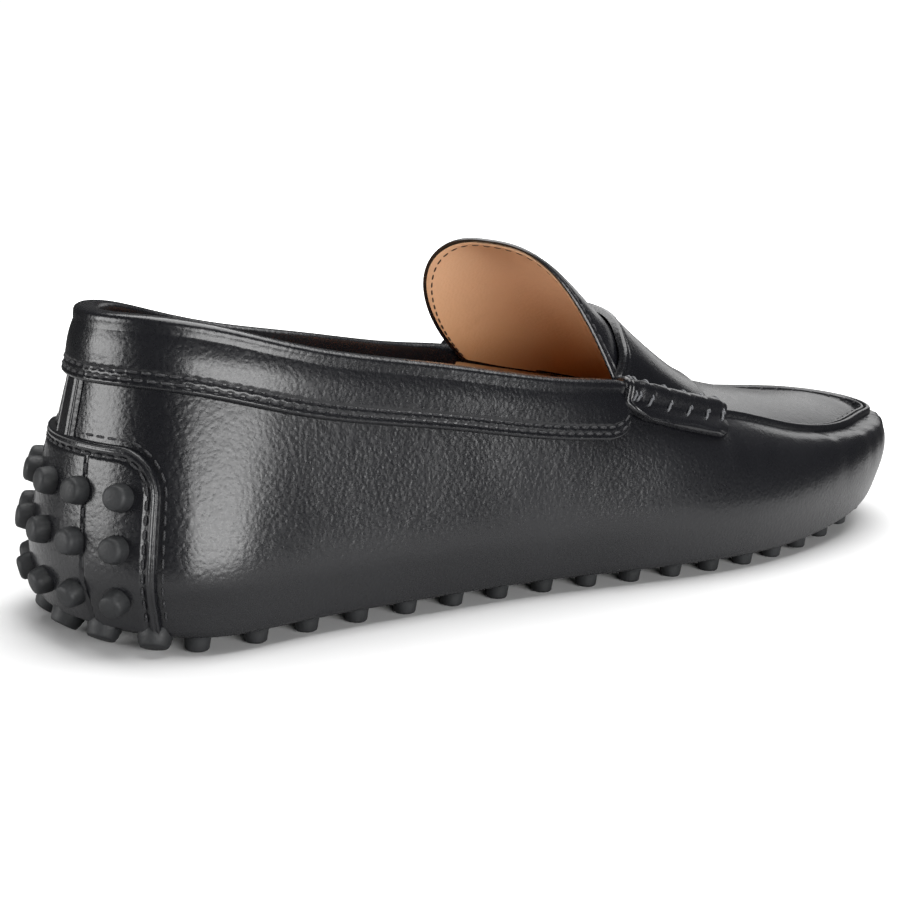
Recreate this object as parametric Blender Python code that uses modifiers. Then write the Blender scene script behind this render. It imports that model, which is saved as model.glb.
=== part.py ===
# Right driving moccasin: a black leather upper with a sewn apron, a saddle strap,
# a rolled collar band and a thin rubber sole with round pebbles up to the heel.
# Metres, +Z up. While it is built, X runs from the back of the heel to the toe,
# -Y is the outer (lateral) side and the pebbles stand on Z = 0. At the end every
# piece moves so that the middle of the shoe's footprint is the origin.

import math
from collections import namedtuple

import bmesh
import bpy
import numpy as np
from mathutils import Matrix, Vector

MM = 0.001

BLACK = (0.012, 0.012, 0.014)
RUBBER = (0.018, 0.018, 0.019)
TAN = (0.45, 0.24, 0.10)

# Driving sizes of the last
SHOE_LENGTH = 289.5 * MM
BALL_WIDTH = 93.0 * MM
HEEL_WIDTH = 64.0 * MM
COLLAR_HEIGHT = 65.6 * MM
THROAT_HEIGHT = 48.4 * MM
APRON_HEIGHT = 32.0 * MM
GIRTH_HEIGHT = 20.0 * MM
GIRTH_SETBACK = 2.1 * MM
COLLAR_SETBACK = 9.8 * MM
APRON_SETBACK = 4.2 * MM
TOE_SPRING = 13.0 * MM
HEEL_LIFT = 0.4 * MM
INSTEP_HEIGHT = 33.6 * MM
TONGUE_REACH = 25.6 * MM

# Leather and rubber
WALL = 1.8 * MM
LIP = 2.0 * MM
SHEET = 1.4 * MM
BAND_LEATHER = 1.3 * MM
BAND_DEPTH = 13.2 * MM
BAND_FOLD = 5.0 * MM
BAND_ROUNDING = 0.03
BAND_END_DEPTH = 0.55
STRAP_LEATHER = 1.8 * MM
STRAP_WING = 5.4 * MM
PATCH_LEATHER = 1.3 * MM
PATCH_HEIGHT = 43.0 * MM
PATCH_REACH = 30.0 * MM
PATCH_CORNER = 10.0 * MM
BACKSTAY_WIDTH = 11.0 * MM
BACK_OFFSET = 2.4 * MM
BACKSTAY_LEATHER = 1.0 * MM
INSOLE_LEATHER = 2.2 * MM
PLATE = 1.8 * MM
PLATE_INSET = 2.2 * MM
PLATE_CHAMFER = 2.0 * MM
GAP = 0.3 * MM
PLUG_GAP = 0.45 * MM
STRAP_GAP = 0.6 * MM

# Pebbles
PEBBLE_WIDTH = 5.8 * MM
PEBBLE_HEIGHT = 3.6 * MM
PEBBLE_PITCH = 13.6 * MM
ROW_SPACING = 13.0 * MM
ROW_INSET = 7.7 * MM
HEEL_PEBBLE_WIDTH = 5.8 * MM
HEEL_PEBBLE_HEIGHT = 3.2 * MM
HEEL_PEBBLE_COLUMNS = 5
HEEL_PEBBLE_ROWS = 3
HEEL_PEBBLE_PITCH = 10.8 * MM
HEEL_PEBBLE_RISE = 10.3 * MM
HEEL_PEBBLE_LOWEST = 12.2 * MM
CORNER_PEBBLES = 5
CORNER_PEBBLE_WIDTH = 6.8 * MM
CORNER_PITCH = 11.4 * MM
CORNER_INSET = 5.6 * MM
CORNER_SPLAY = 20.0
CORNER_SINK = 0.3 * MM
PEBBLE_SIDES = 6
PEBBLE_TAPER = 0.84
PEBBLE_CLEAR = 3.0 * MM
OUTER_ROW_PHASE = 0.08

# Strap slot
SLOT_WIDTH = 25.0 * MM
SLOT_OPENING = 4.5 * MM

# Stations along the rings, as shares of their length
THROAT_SHARE = 0.470
JOIN_SHARE = 0.580
BAND_END = 0.452
PLUG_NOSE = 0.035
SPRING_START = 0.66
HEEL_LIFT_SHARE = 0.10

# Widest outline: shares of the heel width and of the ball width, and the swing
# of its middle towards the inner side as a share of the ball width
Plan = namedtuple("Plan", "share of_heel of_ball swing")
PLAN = [
    Plan(0.00, 0.000, 0.000, 0.000),
    Plan(0.02, 0.306, 0.000, 0.000),
    Plan(0.06, 0.472, 0.000, 0.000),
    Plan(0.15, 0.500, 0.000, 0.000),
    Plan(0.28, 0.450, 0.053, -0.001),
    Plan(0.40, 0.250, 0.211, -0.018),
    Plan(0.52, 0.100, 0.370, -0.029),
    Plan(0.64, 0.000, 0.495, -0.005),
    Plan(0.74, 0.000, 0.502, 0.029),
    Plan(0.84, 0.000, 0.459, 0.050),
    Plan(0.92, 0.000, 0.366, 0.064),
    Plan(0.97, 0.000, 0.253, 0.075),
    Plan(1.00, 0.000, 0.000, 0.079),
]

# Topline and apron seam: half width as shares of heel and ball width, swing as
# above, fall of the height from the collar (0) to the throat (1) and toe (2)
Top = namedtuple("Top", "share of_heel of_ball swing fall")
TOP = [
    Top(0.00, 0.000, 0.000, 0.000, 0.00),
    Top(0.06, 0.325, 0.000, 0.000, 0.07),
    Top(0.15, 0.395, 0.000, 0.000, 0.38),
    Top(0.28, 0.350, 0.060, 0.000, 0.66),
    Top(0.40, 0.150, 0.247, 0.000, 0.90),
    Top(0.47, 0.080, 0.306, 0.000, 1.00),
    Top(0.52, 0.040, 0.346, 0.000, 1.16),
    Top(0.64, 0.000, 0.362, 0.005, 1.49),
    Top(0.74, 0.000, 0.359, 0.020, 1.83),
    Top(0.84, 0.000, 0.322, 0.018, 1.99),
    Top(0.92, 0.000, 0.239, 0.016, 1.99),
    Top(0.97, 0.000, 0.175, 0.014, 2.00),
    Top(1.00, 0.000, 0.000, 0.015, 2.00),
]

# Drop of the seam on the outer side for each metre of half width, reached over
# these shares of the length
SEAM_TILT = 0.04
SEAM_TILT_FROM = 0.44
SEAM_TILT_TO = 0.60

# Height of the instep and apron over a straight line between the seams, as a
# share of INSTEP_HEIGHT
Crown = namedtuple("Crown", "share rise")
CROWN = [
    Crown(0.36, 1.00),
    Crown(0.40, 1.00),
    Crown(0.44, 0.90),
    Crown(0.48, 0.69),
    Crown(0.52, 0.53),
    Crown(0.56, 0.40),
    Crown(0.61, 0.26),
    Crown(0.67, 0.20),
    Crown(0.72, 0.205),
    Crown(0.77, 0.200),
    Crown(0.84, 0.160),
    Crown(0.92, 0.100),
    Crown(0.97, 0.062),
    Crown(1.00, 0.000),
]

# Shape of the instep across: the power of its arch on either side at the
# tongue, the power over the toes, and the lean of its crest to the inner side
ARCH_OUTER = 3.4
ARCH_INNER = 2.1
ARCH_APRON = 2.1
ARCH_FROM = 0.46
ARCH_TO = 0.66
CREST_LEAN = -0.03

# Rear edge of the tongue: how much more it reaches on the inner side, and the
# power of its curve
TONGUE_TILT = 0.70
TONGUE_POWER = 3.0

# Section of the wall below the girth: its ring's height and inset as shares of
# the girth height and plate inset, and how much of the rocker it follows
LOW_HEIGHT = 0.25
LOW_INSET = 0.30
LOW_ROCKING = 0.85
GIRTH_ROCKING = 0.5

# Section of the wall between the girth and the top ring: the rise parameter,
# the mix from the widest ring to the top ring, and the bulge out of that line
# at the heel, the ball and the toe, in shares of the girth height
SHOULDER_RISE = 0.72
SHOULDER_MIX = 0.50
SHOULDER_BULGE_HEEL = 0.02
SHOULDER_BULGE_BALL = 0.16
SHOULDER_BULGE_TOE = 0.06
SHOULDER_BALL_FROM = 0.28
SHOULDER_BALL_TO = 0.82
SHOULDER_TOE_START = 0.86
RISES = [0.0, 0.20, 0.45, SHOULDER_RISE, 1.0]


# Smooth curves through table rows
def spline(knots, values, at):
    """Natural cubic spline through the rows: solves for the bend at each knot."""
    knots = np.asarray(knots, float)
    values = np.asarray(values, float)
    at = np.asarray(at, float)
    count = len(knots)
    step = np.diff(knots)
    system = np.eye(count)
    right = np.zeros_like(values)
    for i in range(1, count - 1):
        system[i, i - 1:i + 2] = step[i - 1], 2 * (step[i - 1] + step[i]), step[i]
        right[i] = 6 * ((values[i + 1] - values[i]) / step[i] - (values[i] - values[i - 1]) / step[i - 1])
    bend = np.linalg.solve(system, right)
    i = np.clip(np.searchsorted(knots, at) - 1, 0, count - 2)
    width = step[i]
    after = at - knots[i]
    before = knots[i + 1] - at
    shape = at.shape + (1,) * (values.ndim - 1)
    width, after, before = width.reshape(shape), after.reshape(shape), before.reshape(shape)
    cubic = (bend[i] * before ** 3 + bend[i + 1] * after ** 3) / (6 * width)
    low = (values[i] / width - bend[i] * width / 6) * before
    high = (values[i + 1] / width - bend[i + 1] * width / 6) * after
    return cubic + low + high


def around(rows, values, angle, odd):
    """Column of a ring table read at an angle: 0 heel, pi toe, negative inner side."""
    turn = np.arccos(1 - 2 * np.array([row.share for row in rows]))
    sign = -1.0 if odd else 1.0
    values = np.asarray(values, float)
    knots = np.concatenate([-turn[:0:-1], turn, 2 * math.pi - turn[-2::-1]])
    column = np.concatenate([sign * values[:0:-1], values, sign * values[-2::-1]])
    return spline(knots, column, angle)


def at_share(share):
    """Angle on a ring at a share of its length, on the outer side."""
    return np.arccos(1 - 2 * np.asarray(share, float))


def share_of(angle):
    return (1 - np.cos(angle)) / 2


def half_width(rows, angle):
    widths = [row.of_heel * HEEL_WIDTH + row.of_ball * BALL_WIDTH for row in rows]
    return around(rows, widths, angle, odd=True)


def swing(rows, angle):
    return around(rows, [row.swing * BALL_WIDTH for row in rows], angle, odd=False)


def ease(value, start, end):
    """Smooth step from 0 at the start to 1 at the end."""
    mix = np.clip((np.asarray(value, float) - start) / (end - start), 0, 1)
    return mix * mix * (3 - 2 * mix)


def rocker(x):
    """Lift of the bottom at the rounded heel and at the toe."""
    share = np.asarray(x, float) / SHOE_LENGTH
    toe = np.clip((share - SPRING_START) / (1 - SPRING_START), 0, None) ** 2
    heel = np.clip(1 - share / HEEL_LIFT_SHARE, 0, None) ** 2
    return TOE_SPRING * toe + HEEL_LIFT * heel


# Rings of the upper
def girth_ring(angle, inset, height, rocking):
    """Widest outline, drawn in by an inset, at a height that follows the rocker."""
    x = GIRTH_SETBACK + inset + (SHOE_LENGTH - GIRTH_SETBACK - 2 * inset) * share_of(angle)
    side = half_width(PLAN, angle)
    y = swing(PLAN, angle) - side + inset * np.sin(angle)
    z = height + rocking * rocker(x)
    return np.stack([x, y, z], -1)


def top_ring(angle):
    x = COLLAR_SETBACK + (SHOE_LENGTH - APRON_SETBACK - COLLAR_SETBACK) * share_of(angle)
    side = half_width(TOP, angle)
    y = swing(TOP, angle) - side
    fall = around(TOP, [row.fall for row in TOP], angle, odd=False)
    first = COLLAR_HEIGHT + (THROAT_HEIGHT - COLLAR_HEIGHT) * np.minimum(fall, 1)
    second = (APRON_HEIGHT - THROAT_HEIGHT) * np.maximum(fall - 1, 0)
    tilt = SEAM_TILT * ease(share_of(angle), SEAM_TILT_FROM, SEAM_TILT_TO) * side
    return np.stack([x, y, first + second - tilt], -1)


PLATE_TOP = PEBBLE_HEIGHT + PLATE
LEATHER_FOOT = PLATE_TOP + GAP


def wall(angle, rise):
    """Outer face of the upper. Rise 0 is its foot and 1 the seam or topline."""
    angle, rise = np.broadcast_arrays(np.asarray(angle, float), np.asarray(rise, float))
    girth = girth_ring(angle, 0.0, GIRTH_HEIGHT, GIRTH_ROCKING)
    top = top_ring(angle)
    low = LOW_HEIGHT * (LEATHER_FOOT + GIRTH_HEIGHT)
    forward = share_of(angle)[..., None]
    bulge = SHOULDER_BULGE_HEEL + (SHOULDER_BULGE_BALL - SHOULDER_BULGE_HEEL) * ease(
        forward, SHOULDER_BALL_FROM, SHOULDER_BALL_TO)
    bulge = bulge + (SHOULDER_BULGE_TOE - SHOULDER_BULGE_BALL) * ease(forward, SHOULDER_TOE_START, 1.0)
    out = np.stack([-np.cos(angle), -np.sin(angle), np.ones_like(angle)], -1)
    shoulder = girth + SHOULDER_MIX * (top - girth) + bulge * GIRTH_HEIGHT * out
    rings = np.stack([
        girth_ring(angle, PLATE_INSET, LEATHER_FOOT, 1.0),
        girth_ring(angle, LOW_INSET * PLATE_INSET, LEATHER_FOOT + low, LOW_ROCKING),
        girth,
        shoulder,
        top,
    ], -2)
    weights = spline(RISES, np.eye(len(RISES)), rise)
    return np.einsum("...k,...kd->...d", weights, rings)


def unit(vectors):
    return vectors / np.linalg.norm(vectors, axis=-1, keepdims=True)


def wall_normal(angle, rise):
    """Outward direction from the slopes along and up the wall."""
    small = 1e-3
    along = wall(np.asarray(angle) + small, rise) - wall(np.asarray(angle) - small, rise)
    up = wall(angle, np.asarray(rise) + small) - wall(angle, np.asarray(rise) - small)
    return unit(np.cross(along, up))


def plan_normal(ring, angle):
    """Outward level direction of a ring."""
    small = 1e-3
    along = ring(angle + small) - ring(angle - small)
    across = np.stack([along[..., 1], -along[..., 0], np.zeros_like(angle)], -1)
    return unit(across)


def rise_at(angle, height):
    """Rise at which the wall passes a height, for each angle."""
    steps = np.linspace(0, 1, 60)
    angle, height = np.broadcast_arrays(np.atleast_1d(angle), height)
    heights = wall(angle[:, None], steps[None, :])[..., 2]
    return np.array([np.interp(z, row, steps) for z, row in zip(height, heights)])


def instep(share, across):
    """Tongue and apron surface: straight lines between the seams, raised by the
    crown with an arch across. Across runs from -1, outer, to 1, inner."""
    share, across = np.broadcast_arrays(np.asarray(share, float), np.asarray(across, float))
    angle = at_share(share)
    inset = WALL + PLUG_GAP + SHEET
    outer = top_ring(angle) - inset * plan_normal(top_ring, angle)
    inner = top_ring(-angle) - inset * plan_normal(top_ring, -angle)
    crown = spline([row.share for row in CROWN], [row.rise * INSTEP_HEIGHT for row in CROWN], share)
    mix = (across[..., None] + 1) / 2
    point = outer + (inner - outer) * mix
    power = np.where(across < 0, ARCH_OUTER, ARCH_INNER)
    power = power + (ARCH_APRON - power) * ease(share, ARCH_FROM, ARCH_TO)
    point[..., 2] += crown * (1 - np.abs(across) ** power) * (1 + CREST_LEAN * across)
    return point


def instep_normal(share, across):
    small = 1e-3
    share = np.clip(share, None, 1 - 2 * small)
    along = instep(share + small, across) - instep(share - small, across)
    over = instep(share, across + small) - instep(share, across - small)
    return unit(np.cross(along, over))


# Meshes
def build_mesh(name, points, faces, material, merge=1e-6):
    mesh = bpy.data.meshes.new(name)
    mesh.from_pydata([tuple(map(float, p)) for p in points], [], faces)
    shaped = bmesh.new()
    shaped.from_mesh(mesh)
    bmesh.ops.remove_doubles(shaped, verts=shaped.verts, dist=merge)
    bmesh.ops.dissolve_degenerate(shaped, edges=shaped.edges, dist=merge)
    shaped.to_mesh(mesh)
    shaped.free()
    mesh.materials.append(material)
    mesh.shade_smooth()
    mesh.set_sharp_from_angle(angle=math.radians(40))
    piece = bpy.data.objects.new(name, mesh)
    shoe.objects.link(piece)
    return piece


def grid_faces(rows, columns, closed=False, start=0):
    """Quads of a grid of points kept row by row. Closed joins the last row to the first."""
    faces = []
    for i in range(rows if closed else rows - 1):
        after = (i + 1) % rows
        for j in range(columns - 1):
            a, b = start + i * columns + j, start + after * columns + j
            faces.append((a, b, b + 1, a + 1))
    return faces


def shell(name, points, material, thickness, offset, closed=False, even=True):
    """Open surface given its thickness by Solidify."""
    rows, columns = points.shape[:2]
    piece = build_mesh(name, points.reshape(-1, 3), grid_faces(rows, columns, closed), material)
    solid = piece.modifiers.new("thickness", "SOLIDIFY")
    solid.thickness = thickness
    solid.offset = offset
    solid.use_even_offset = even
    return piece


def slab(name, upper, lower, material):
    """Closed sheet between an upper and a lower grid of the same layout."""
    rows, columns = upper.shape[:2]
    count = rows * columns
    points = np.concatenate([upper.reshape(-1, 3), lower.reshape(-1, 3)])
    top = grid_faces(rows, columns)
    faces = top + [tuple(count + v for v in reversed(face)) for face in top]
    edge = [j for j in range(columns)]
    edge += [i * columns + columns - 1 for i in range(1, rows)]
    edge += [(rows - 1) * columns + j for j in range(columns - 2, -1, -1)]
    edge += [i * columns for i in range(rows - 2, 0, -1)]
    for a, b in zip(edge, edge[1:] + edge[:1]):
        faces.append((a, b, count + b, count + a))
    return build_mesh(name, points, faces, material)


def union(piece, others):
    """Fuses loose pieces into one solid."""
    joined = join_meshes(piece.name + "_pebbles", others)
    fuse = piece.modifiers.new("fuse", "BOOLEAN")
    fuse.operation = "UNION"
    fuse.solver = "EXACT"
    fuse.object = joined
    return piece


def join_meshes(name, others):
    """One cutter from many separate, non-touching meshes."""
    gathered = bmesh.new()
    for other in others:
        part = other.data.copy()
        part.transform(other.matrix_basis)
        gathered.from_mesh(part)
        bpy.data.meshes.remove(part)
        bpy.data.objects.remove(other)
    mesh = bpy.data.meshes.new(name)
    gathered.to_mesh(mesh)
    gathered.free()
    joined = bpy.data.objects.new(name, mesh)
    joined.hide_render = True
    joined.display_type = "WIRE"
    cutters.objects.link(joined)
    return joined


def pebble(point, direction, width, height, sink):
    """Round stud with a slight taper, standing out of a face along a direction."""
    shaped = bmesh.new()
    bmesh.ops.create_cone(shaped, cap_ends=True, segments=PEBBLE_SIDES, radius1=width / 2,
                          radius2=PEBBLE_TAPER * width / 2, depth=height + sink)
    mesh = bpy.data.meshes.new("pebble")
    shaped.to_mesh(mesh)
    shaped.free()
    piece = bpy.data.objects.new("pebble", mesh)
    toward = Vector(direction).to_track_quat("Z", "Y").to_matrix().to_4x4()
    middle = Vector(point) + Vector(direction) * ((height - sink) / 2)
    piece.matrix_basis = Matrix.Translation(middle) @ toward
    return piece


def leather(name, color, roughness):
    material = bpy.data.materials.new(name)
    material.use_nodes = True
    surface = material.node_tree.nodes["Principled BSDF"]
    surface.inputs["Base Color"].default_value = (*color, 1)
    surface.inputs["Roughness"].default_value = roughness
    surface.inputs["Metallic"].default_value = 0
    return material


# Every overlay uses the upper's own stations, so that its facets lie over the
# upper's facets and the gap between them stays even
STATIONS = 74
STATION = 2 * math.pi / STATIONS


def stations_within(start, end):
    """The upper's stations between two angles. The inner side's are negative."""
    clear = 0.2
    first = math.ceil(start / STATION + clear)
    last = math.floor(end / STATION - clear)
    return np.concatenate([[start], STATION * np.arange(first, last + 1), [end]])


# Pieces
def make_upper():
    """Wall from the plate to the collar and apron seam, with its lip turned up."""
    angle = STATION * np.arange(STATIONS)
    angle = np.where(angle > math.pi, angle - 2 * math.pi, angle)
    rise = np.array([0, 0.09, 0.20, 0.34, 0.50, 0.66, 0.80, 0.91, 1.0])
    side = wall(angle[:, None], rise[None, :])
    lip = side[:, -1:] + np.array([0, 0, LIP])
    return shell("upper", np.concatenate([side, lip], 1), leather("upper_leather", BLACK, 0.42),
                 WALL, -1, closed=True)


def plate_outline(angle, inset):
    """Edge of the plate, level with the upper's foot, drawn in along its normal."""
    def foot(turn):
        return girth_ring(turn, PLATE_INSET, 0.0, 0.0)
    return foot(angle) - inset * plan_normal(foot, angle)


def foot_grid(rows, columns, inset, height):
    """Cross lines from the outer to the inner edge, following the rocker."""
    angle = np.linspace(0, math.pi, rows)
    outer = plate_outline(angle, inset)
    inner = plate_outline(-angle, inset)
    across = np.linspace(0, 1, columns)[None, :, None]
    grid = outer[:, None] + (inner - outer)[:, None] * across
    grid[..., 2] = height + rocker(grid[..., 0])
    return grid


def row_line(inset):
    """Closed line drawn in from the plate's edge, and the run along it."""
    turn = np.linspace(0, 2 * math.pi, 721)
    turn = np.where(turn > math.pi, turn - 2 * math.pi, turn)
    line = plate_outline(turn, inset)[:, :2]
    run = np.concatenate([[0], np.cumsum(np.linalg.norm(np.diff(line, axis=0), axis=1))])
    return line, run


def along_line(line, run, stops):
    stops = np.mod(stops, run[-1])
    return np.stack([np.interp(stops, run, line[:, 0]), np.interp(stops, run, line[:, 1])], -1)


def row_points(inset, pitch, phase):
    """Points at an even pitch along a line drawn in from the plate's edge."""
    line, run = row_line(inset)
    count = round(run[-1] / pitch)
    return along_line(line, run, (np.arange(count) + phase) * run[-1] / count)


def corner_points():
    """Points round the back of the heel, the middle one at the centre back."""
    steps = np.arange(CORNER_PEBBLES) - (CORNER_PEBBLES - 1) / 2
    return along_line(*row_line(CORNER_INSET - PLATE_INSET), steps * CORNER_PITCH)


def field_points():
    """Pebbles inside the two outer rows, in cross lines that step by half a pitch."""
    reach = ROW_INSET - PLATE_INSET + 2 * ROW_SPACING
    places = []
    lines = round(SHOE_LENGTH / ROW_SPACING)
    for i in range(2, lines - 1):
        angle = at_share(i / lines)
        outer = plate_outline(angle, reach)
        inner = plate_outline(-angle, reach)
        free = inner[1] - outer[1]
        if free < -0.35 * ROW_SPACING:
            continue
        count = max(0, round(free / PEBBLE_PITCH - 0.5 * (i % 2))) + 1
        middle = (outer[1] + inner[1]) / 2
        for k in range(count):
            places.append((outer[0], middle + (k - (count - 1) / 2) * PEBBLE_PITCH))
    return np.array(places)


def sole_pebble(x, y):
    """Stud square to the plate's lower face."""
    small = 0.5 * MM
    slope = (rocker(x + small) - rocker(x - small)) / (2 * small)
    down = Vector((slope, 0, -1)).normalized()
    face = Vector((x, y, PEBBLE_HEIGHT + float(rocker(x))))
    return pebble(face, down, PEBBLE_WIDTH, PEBBLE_HEIGHT, 0.5 * PLATE)


def corner_pebble(x, y):
    """Wider stud at the back of the heel, splayed outwards and clear of the floor."""
    outward = Vector((x - HEEL_WIDTH / 2, y, 0)).normalized()
    splay = math.radians(CORNER_SPLAY)
    direction = outward * math.sin(splay) + Vector((0, 0, -math.cos(splay)))
    base = PEBBLE_HEIGHT + float(rocker(x))
    height = (base - CORNER_PEBBLE_WIDTH / 2 * math.sin(splay)) / math.cos(splay)
    return pebble(Vector((x, y, base)), direction, CORNER_PEBBLE_WIDTH, height, CORNER_SINK)


def make_sole():
    """Thin plate with a chamfered edge and rows of pebbles under it."""
    upper_face = foot_grid(30, 5, 0.0, PLATE_TOP)
    lower_face = foot_grid(30, 5, PLATE_CHAMFER, PEBBLE_HEIGHT)
    sole = slab("sole", upper_face, lower_face, leather("sole_rubber", RUBBER, 0.6))
    first = ROW_INSET - PLATE_INSET
    rows = [
        row_points(first, PEBBLE_PITCH, OUTER_ROW_PHASE),
        row_points(first + ROW_SPACING, PEBBLE_PITCH, OUTER_ROW_PHASE + 0.5),
        field_points(),
    ]
    studs = []
    taken = list(corner_points())
    for x, y in taken:
        studs.append(corner_pebble(x, y))
    for x, y in np.concatenate(rows):
        if np.hypot(*(np.array(taken) - (x, y)).T).min() > PEBBLE_WIDTH + PEBBLE_CLEAR:
            taken.append((x, y))
            studs.append(sole_pebble(x, y))
    return union(sole, studs)


def make_insole():
    """Sock on the plate, clear of the inside of the wall."""
    inset = WALL + 2 * GAP
    base = PLATE_TOP + GAP
    upper_face = foot_grid(22, 4, inset, base + INSOLE_LEATHER)
    lower_face = foot_grid(22, 4, inset, base)
    return slab("insole", upper_face, lower_face, leather("insole_leather", TAN, 0.6))


ACROSS = np.array([-1, -0.94, -0.8, -0.6, -0.4, -0.2, 0, 0.2, 0.4, 0.6, 0.8, 0.94, 1])


def turned_up(surface):
    """Adds the seam's lip along both sides of a sheet."""
    lift = np.array([0, 0, LIP])
    return np.concatenate([surface[:, :1] + lift, surface, surface[:, -1:] + lift], 1)


def make_apron():
    """Plug over the toes, from the join under the strap to the toe seam."""
    start = at_share(JOIN_SHARE)
    share = share_of(np.linspace(start, math.pi - PLUG_NOSE, 19))
    points = turned_up(instep(share[:, None], ACROSS[None, :]))
    return shell("apron", points, leather("apron_leather", BLACK, 0.42), SHEET, -1, even=False)


def tongue_rear(across):
    """Rear edge of the tongue: at the throat by the seams, further back at its tip."""
    reach = TONGUE_REACH / SHOE_LENGTH * (1 + TONGUE_TILT * across)
    return THROAT_SHARE + 2 * GAP / SHOE_LENGTH - reach * (1 - np.abs(across) ** TONGUE_POWER)


def make_tongue():
    """Flap over the instep, from its free edge to the apron."""
    clear = GAP / SHOE_LENGTH
    run = np.linspace(0, 1, 11)[:, None]
    rear = tongue_rear(ACROSS)[None, :]
    share = rear + (JOIN_SHARE - clear - rear) * run
    points = turned_up(instep(share, np.broadcast_to(ACROSS, share.shape)))
    return shell("tongue", points, leather("tongue_leather", BLACK, 0.42), SHEET, -1, even=False)


# Edges of the strap across the instep: share of the rings at the rear and front
Edge = namedtuple("Edge", "across rear front")
STRAP = [
    Edge(0.00, 0.501, 0.662),
    Edge(0.20, 0.501, 0.655),
    Edge(0.40, 0.500, 0.644),
    Edge(0.60, 0.495, 0.633),
    Edge(0.80, 0.485, 0.623),
    Edge(0.90, 0.477, 0.618),
]

# Side of the strap, from the seam's lips down its wing
Side = namedtuple("Side", "line rear front")
STRAP_SIDE = [
    Side("over_plug_lip", 0.466, 0.613),
    Side("over_wall_lip", 0.461, 0.609),
    Side("wing_top", 0.459, 0.606),
    Side("wing_middle", 0.462, 0.598),
    Side("wing_foot", 0.484, 0.580),
]
WING_DROPS = {"wing_top": 0.16, "wing_middle": 0.60, "wing_foot": 1.00}
SLOT_SHARE = 0.587


def strap_column(edge, side, run):
    """Points of one line of the strap from its rear to its front edge."""
    share = edge.rear + (edge.front - edge.rear) * run
    if isinstance(edge, Edge):
        across = np.full_like(share, side * edge.across)
        return instep(share, across) + STRAP_GAP * instep_normal(share, across)
    angle = at_share(share) * (1 if side < 0 else -1)
    seam = top_ring(angle)
    if edge.line in WING_DROPS:
        rise = rise_at(angle, seam[:, 2] - WING_DROPS[edge.line] * STRAP_WING)
        return wall(angle, rise) + STRAP_GAP * wall_normal(angle, rise)
    inward = WALL + SHEET + PLUG_GAP if edge.line == "over_plug_lip" else -2 * STRAP_GAP
    return seam - (inward + STRAP_GAP) * plan_normal(top_ring, angle) + [0, 0, LIP + STRAP_GAP]


def make_strap():
    """Saddle over the instep with a wing down each side and a slot on top."""
    run = np.linspace(0, 1, 9)
    outer = STRAP_SIDE[::-1] + STRAP[:0:-1]
    columns = [strap_column(edge, -1, run) for edge in outer]
    columns += [strap_column(edge, 1, run) for edge in STRAP + STRAP_SIDE]
    strap = shell("saddle_strap", np.stack(columns, 1), leather("strap_leather", BLACK, 0.40),
                  STRAP_LEATHER, 1, even=False)
    middle = instep(np.array([SLOT_SHARE]), np.array([0.0]))[0]
    bpy.ops.mesh.primitive_cylinder_add(vertices=16, radius=0.5, depth=1)
    slot = bpy.context.object
    slot.name = "slot_cutter"
    slot.data.transform(Matrix.Diagonal((SLOT_OPENING, SLOT_WIDTH, 8 * STRAP_LEATHER, 1)))
    slot.location = middle
    gather(slot, cutters)
    slot.hide_render = True
    slot.display_type = "WIRE"
    cut = strap.modifiers.new("slot", "BOOLEAN")
    cut.operation = "DIFFERENCE"
    cut.solver = "EXACT"
    cut.object = slot
    return strap


def gather(piece, collection):
    for owner in list(piece.users_collection):
        owner.objects.unlink(piece)
    collection.objects.link(piece)


def make_collar_band():
    """Folded strip over the topline from throat to throat round the heel. Its
    section is an upside-down J: out, up over the edge and down inside."""
    end = at_share(BAND_END)
    angle = stations_within(-end, end)
    to_end = (end - np.abs(angle)) / (end - at_share(BAND_END - BAND_ROUNDING))
    rounding = np.sqrt(1 - np.clip(1 - to_end, 0, 1) ** 2)
    depth = BAND_DEPTH * (BAND_END_DEPTH + (1 - BAND_END_DEPTH) * rounding)
    foot = rise_at(angle, top_ring(angle)[:, 2] + LIP - depth)
    near = rise_at(angle, top_ring(angle)[:, 2] + LIP - BAND_FOLD)
    top = top_ring(angle)
    level = plan_normal(top_ring, angle)
    lip = np.array([0, 0, LIP])
    rise = np.array([0, 0, 1.0])

    def out(at, distance):
        return wall(angle, at) + distance * wall_normal(angle, at)

    inside = WALL + GAP
    outer = GAP + BAND_LEATHER
    bend = 0.6 * outer
    section = [
        out(foot, GAP),
        out(foot, outer),
        out(0.5 * (foot + 1), outer),
        top + lip + level * outer,
        top + lip + level * (bend - 0.2 * WALL) + rise * outer,
        top + lip - level * (bend + 0.8 * WALL) + rise * outer,
        top + lip - level * (WALL + outer),
        top - level * (WALL + outer),
        out(near, -(WALL + outer)),
        out(near, -inside),
        top - level * inside,
        top + lip - level * inside,
        top + lip - level * inside + rise * GAP,
        top + lip + level * GAP + rise * GAP,
        top + lip + level * GAP,
        out(0.5 * (foot + 1), GAP),
    ]
    points = np.stack(section, 1)
    rows, columns = points.shape[:2]
    faces = []
    for i in range(rows - 1):
        for j in range(columns):
            a, b = i * columns + j, i * columns + (j + 1) % columns
            faces.append((a, a + columns, b + columns, b))
    faces.append(tuple(range(columns)))
    faces.append(tuple(reversed(range((rows - 1) * columns, rows * columns))))
    return build_mesh("collar_band", points.reshape(-1, 3), faces, leather("band_leather", BLACK, 0.38))


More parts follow.
